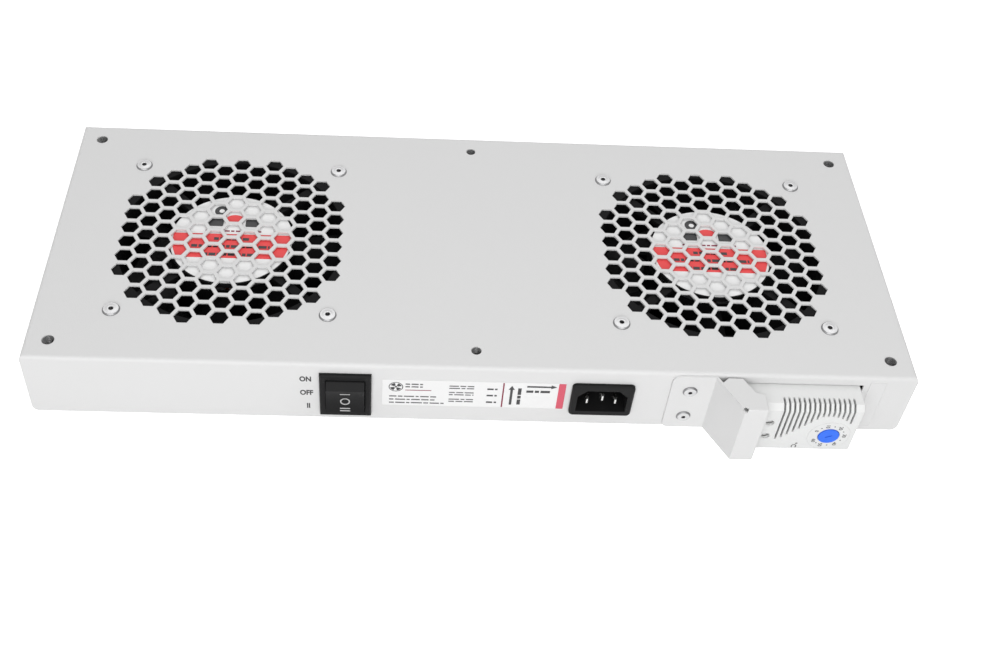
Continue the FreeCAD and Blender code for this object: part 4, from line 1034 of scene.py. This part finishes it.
def floor_paper(low, high):
    """White paper that keeps the object's shadow, with painted shade right under the tray."""
    made = bpy.data.materials.new("floor_paper")
    made.use_nodes = True
    tree = made.node_tree
    tree.nodes.clear()
    place = node(tree, "TexCoord")
    split = node(tree, "SeparateXYZ")
    tree.links.new(place.outputs["Object"], split.inputs[0])
    outside = None
    for axis, middle, half in (("X", (low.x + high.x) / 2, (high.x - low.x) / 2),
                               ("Y", 0.0, high.y)):
        away = math_node(tree, "ABSOLUTE", math_node(tree, "SUBTRACT", split.outputs[axis], middle), 0.0)
        reach = math_node(tree, "GREATER_THAN", away, half - PAPER_MARGIN)
        outside = reach if outside is None else math_node(tree, "MAXIMUM", outside, reach)
    # Right under the tray the paper gets no glow and is painted dark: painted shade where the fans' gaps
    # show the floor
    glow = node(tree, "Emission")
    shown = math_node(tree, "MULTIPLY", seen_rays(tree), outside)
    tree.links.new(math_node(tree, "MULTIPLY", shown, PAPER_GLOW), glow.inputs["Strength"])
    paper = node(tree, "BsdfDiffuse")
    paler = math_node(tree, "MULTIPLY", outside, PAPER_WHITE - PAPER_PAINTED_SHADE)
    tree.links.new(math_node(tree, "ADD", paler, PAPER_PAINTED_SHADE), paper.inputs["Color"])
    both = node(tree, "AddShader")
    out = node(tree, "OutputMaterial")
    tree.links.new(paper.outputs[0], both.inputs[0])
    tree.links.new(glow.outputs[0], both.inputs[1])
    tree.links.new(both.outputs[0], out.inputs["Surface"])
    return made


class FANTRAY_OT_stage(bpy.types.Operator):
    """Lay the floor, hang the lamps and set up the camera"""
    bl_idname = "fantray.stage"
    bl_label = "Stage"

    def execute(self, context):
        look = context.scene.fan_tray
        low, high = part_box("tray")
        reach = look.floor_reach
        build = bmesh.new()
        corners = [(-reach, -reach), (reach, -reach), (reach, reach), (-reach, reach)]
        build.faces.new([build.verts.new((x, y, low.z - PAPER_GAP)) for x, y in corners])
        mesh = bpy.data.meshes.new("floor")
        build.to_mesh(mesh)
        build.free()
        mesh.materials.append(floor_paper(low, high))
        floor = bpy.data.objects.new("floor", mesh)
        context.scene.collection.objects.link(floor)

        area_lamp("key_lamp", power=look.key_power, **KEY_LAMP)
        area_lamp("front_lamp", power=look.front_power, **FRONT_LAMP)

        world = bpy.data.worlds.new("studio")
        world.use_nodes = True
        context.scene.world = world
        tree = world.node_tree
        background = tree.nodes["Background"]
        background.inputs["Color"].default_value = (1.0, 1.0, 1.0, 1.0)
        seen = seen_rays(tree)
        even = math_node(tree, "MULTIPLY", math_node(tree, "SUBTRACT", 1.0, seen), look.sky_light)
        tree.links.new(math_node(tree, "ADD", even, seen), background.inputs["Strength"])

        camera = bpy.data.cameras.new("camera")
        camera.lens = CAMERA_LENS
        camera.sensor_width = SENSOR_WIDTH
        camera.shift_x, camera.shift_y = CAMERA_SHIFT
        camera.clip_start = 0.01
        holder = bpy.data.objects.new("camera", camera)
        holder.location = CAMERA_PLACE
        holder.rotation_euler = Euler([math.radians(turn) for turn in CAMERA_TURN])
        context.scene.collection.objects.link(holder)
        context.scene.camera = holder
        context.scene.view_settings.view_transform = "Standard"
        return {"FINISHED"}


class FANTRAY_PT_dressing(bpy.types.Panel):
    """The tray's dressing, step by step"""
    bl_idname = "FANTRAY_PT_dressing"
    bl_label = "Fan tray"
    bl_space_type = "VIEW_3D"
    bl_region_type = "UI"
    bl_category = "Fan tray"

    def draw(self, context):
        for label in TraySettings.__annotations__:
            self.layout.prop(context.scene.fan_tray, label)
        for step in STEPS:
            self.layout.operator(step.bl_idname)


STEPS = (
    FANTRAY_OT_stage, FANTRAY_OT_finishes, FANTRAY_OT_rivets, FANTRAY_OT_pins, FANTRAY_OT_screw_heads,
    FANTRAY_OT_threads, FANTRAY_OT_front_label, FANTRAY_OT_side_sticker, FANTRAY_OT_switch_marks,
    FANTRAY_OT_thermostat_scale, FANTRAY_OT_fan_labels,
)
CLASSES = (TraySettings, *STEPS, FANTRAY_PT_dressing)


def register():
    """Register the settings, the steps and the panel."""
    for each in CLASSES:
        bpy.utils.register_class(each)
    bpy.types.Scene.fan_tray = bpy.props.PointerProperty(type=TraySettings)


def unregister():
    """Take everything out again."""
    del bpy.types.Scene.fan_tray
    for each in reversed(CLASSES):
        bpy.utils.unregister_class(each)


def main():
    """Dress the tray."""
    register()
    bpy.ops.fantray.stage()
    bpy.ops.fantray.finishes()
    bpy.ops.fantray.rivets()
    bpy.ops.fantray.pins()
    bpy.ops.fantray.screw_heads()
    bpy.ops.fantray.threads()
    bpy.ops.fantray.front_label()
    bpy.ops.fantray.side_sticker()
    bpy.ops.fantray.switch_marks()
    bpy.ops.fantray.thermostat_scale()
    bpy.ops.fantray.fan_labels()


if __name__ == "__main__":
    main()
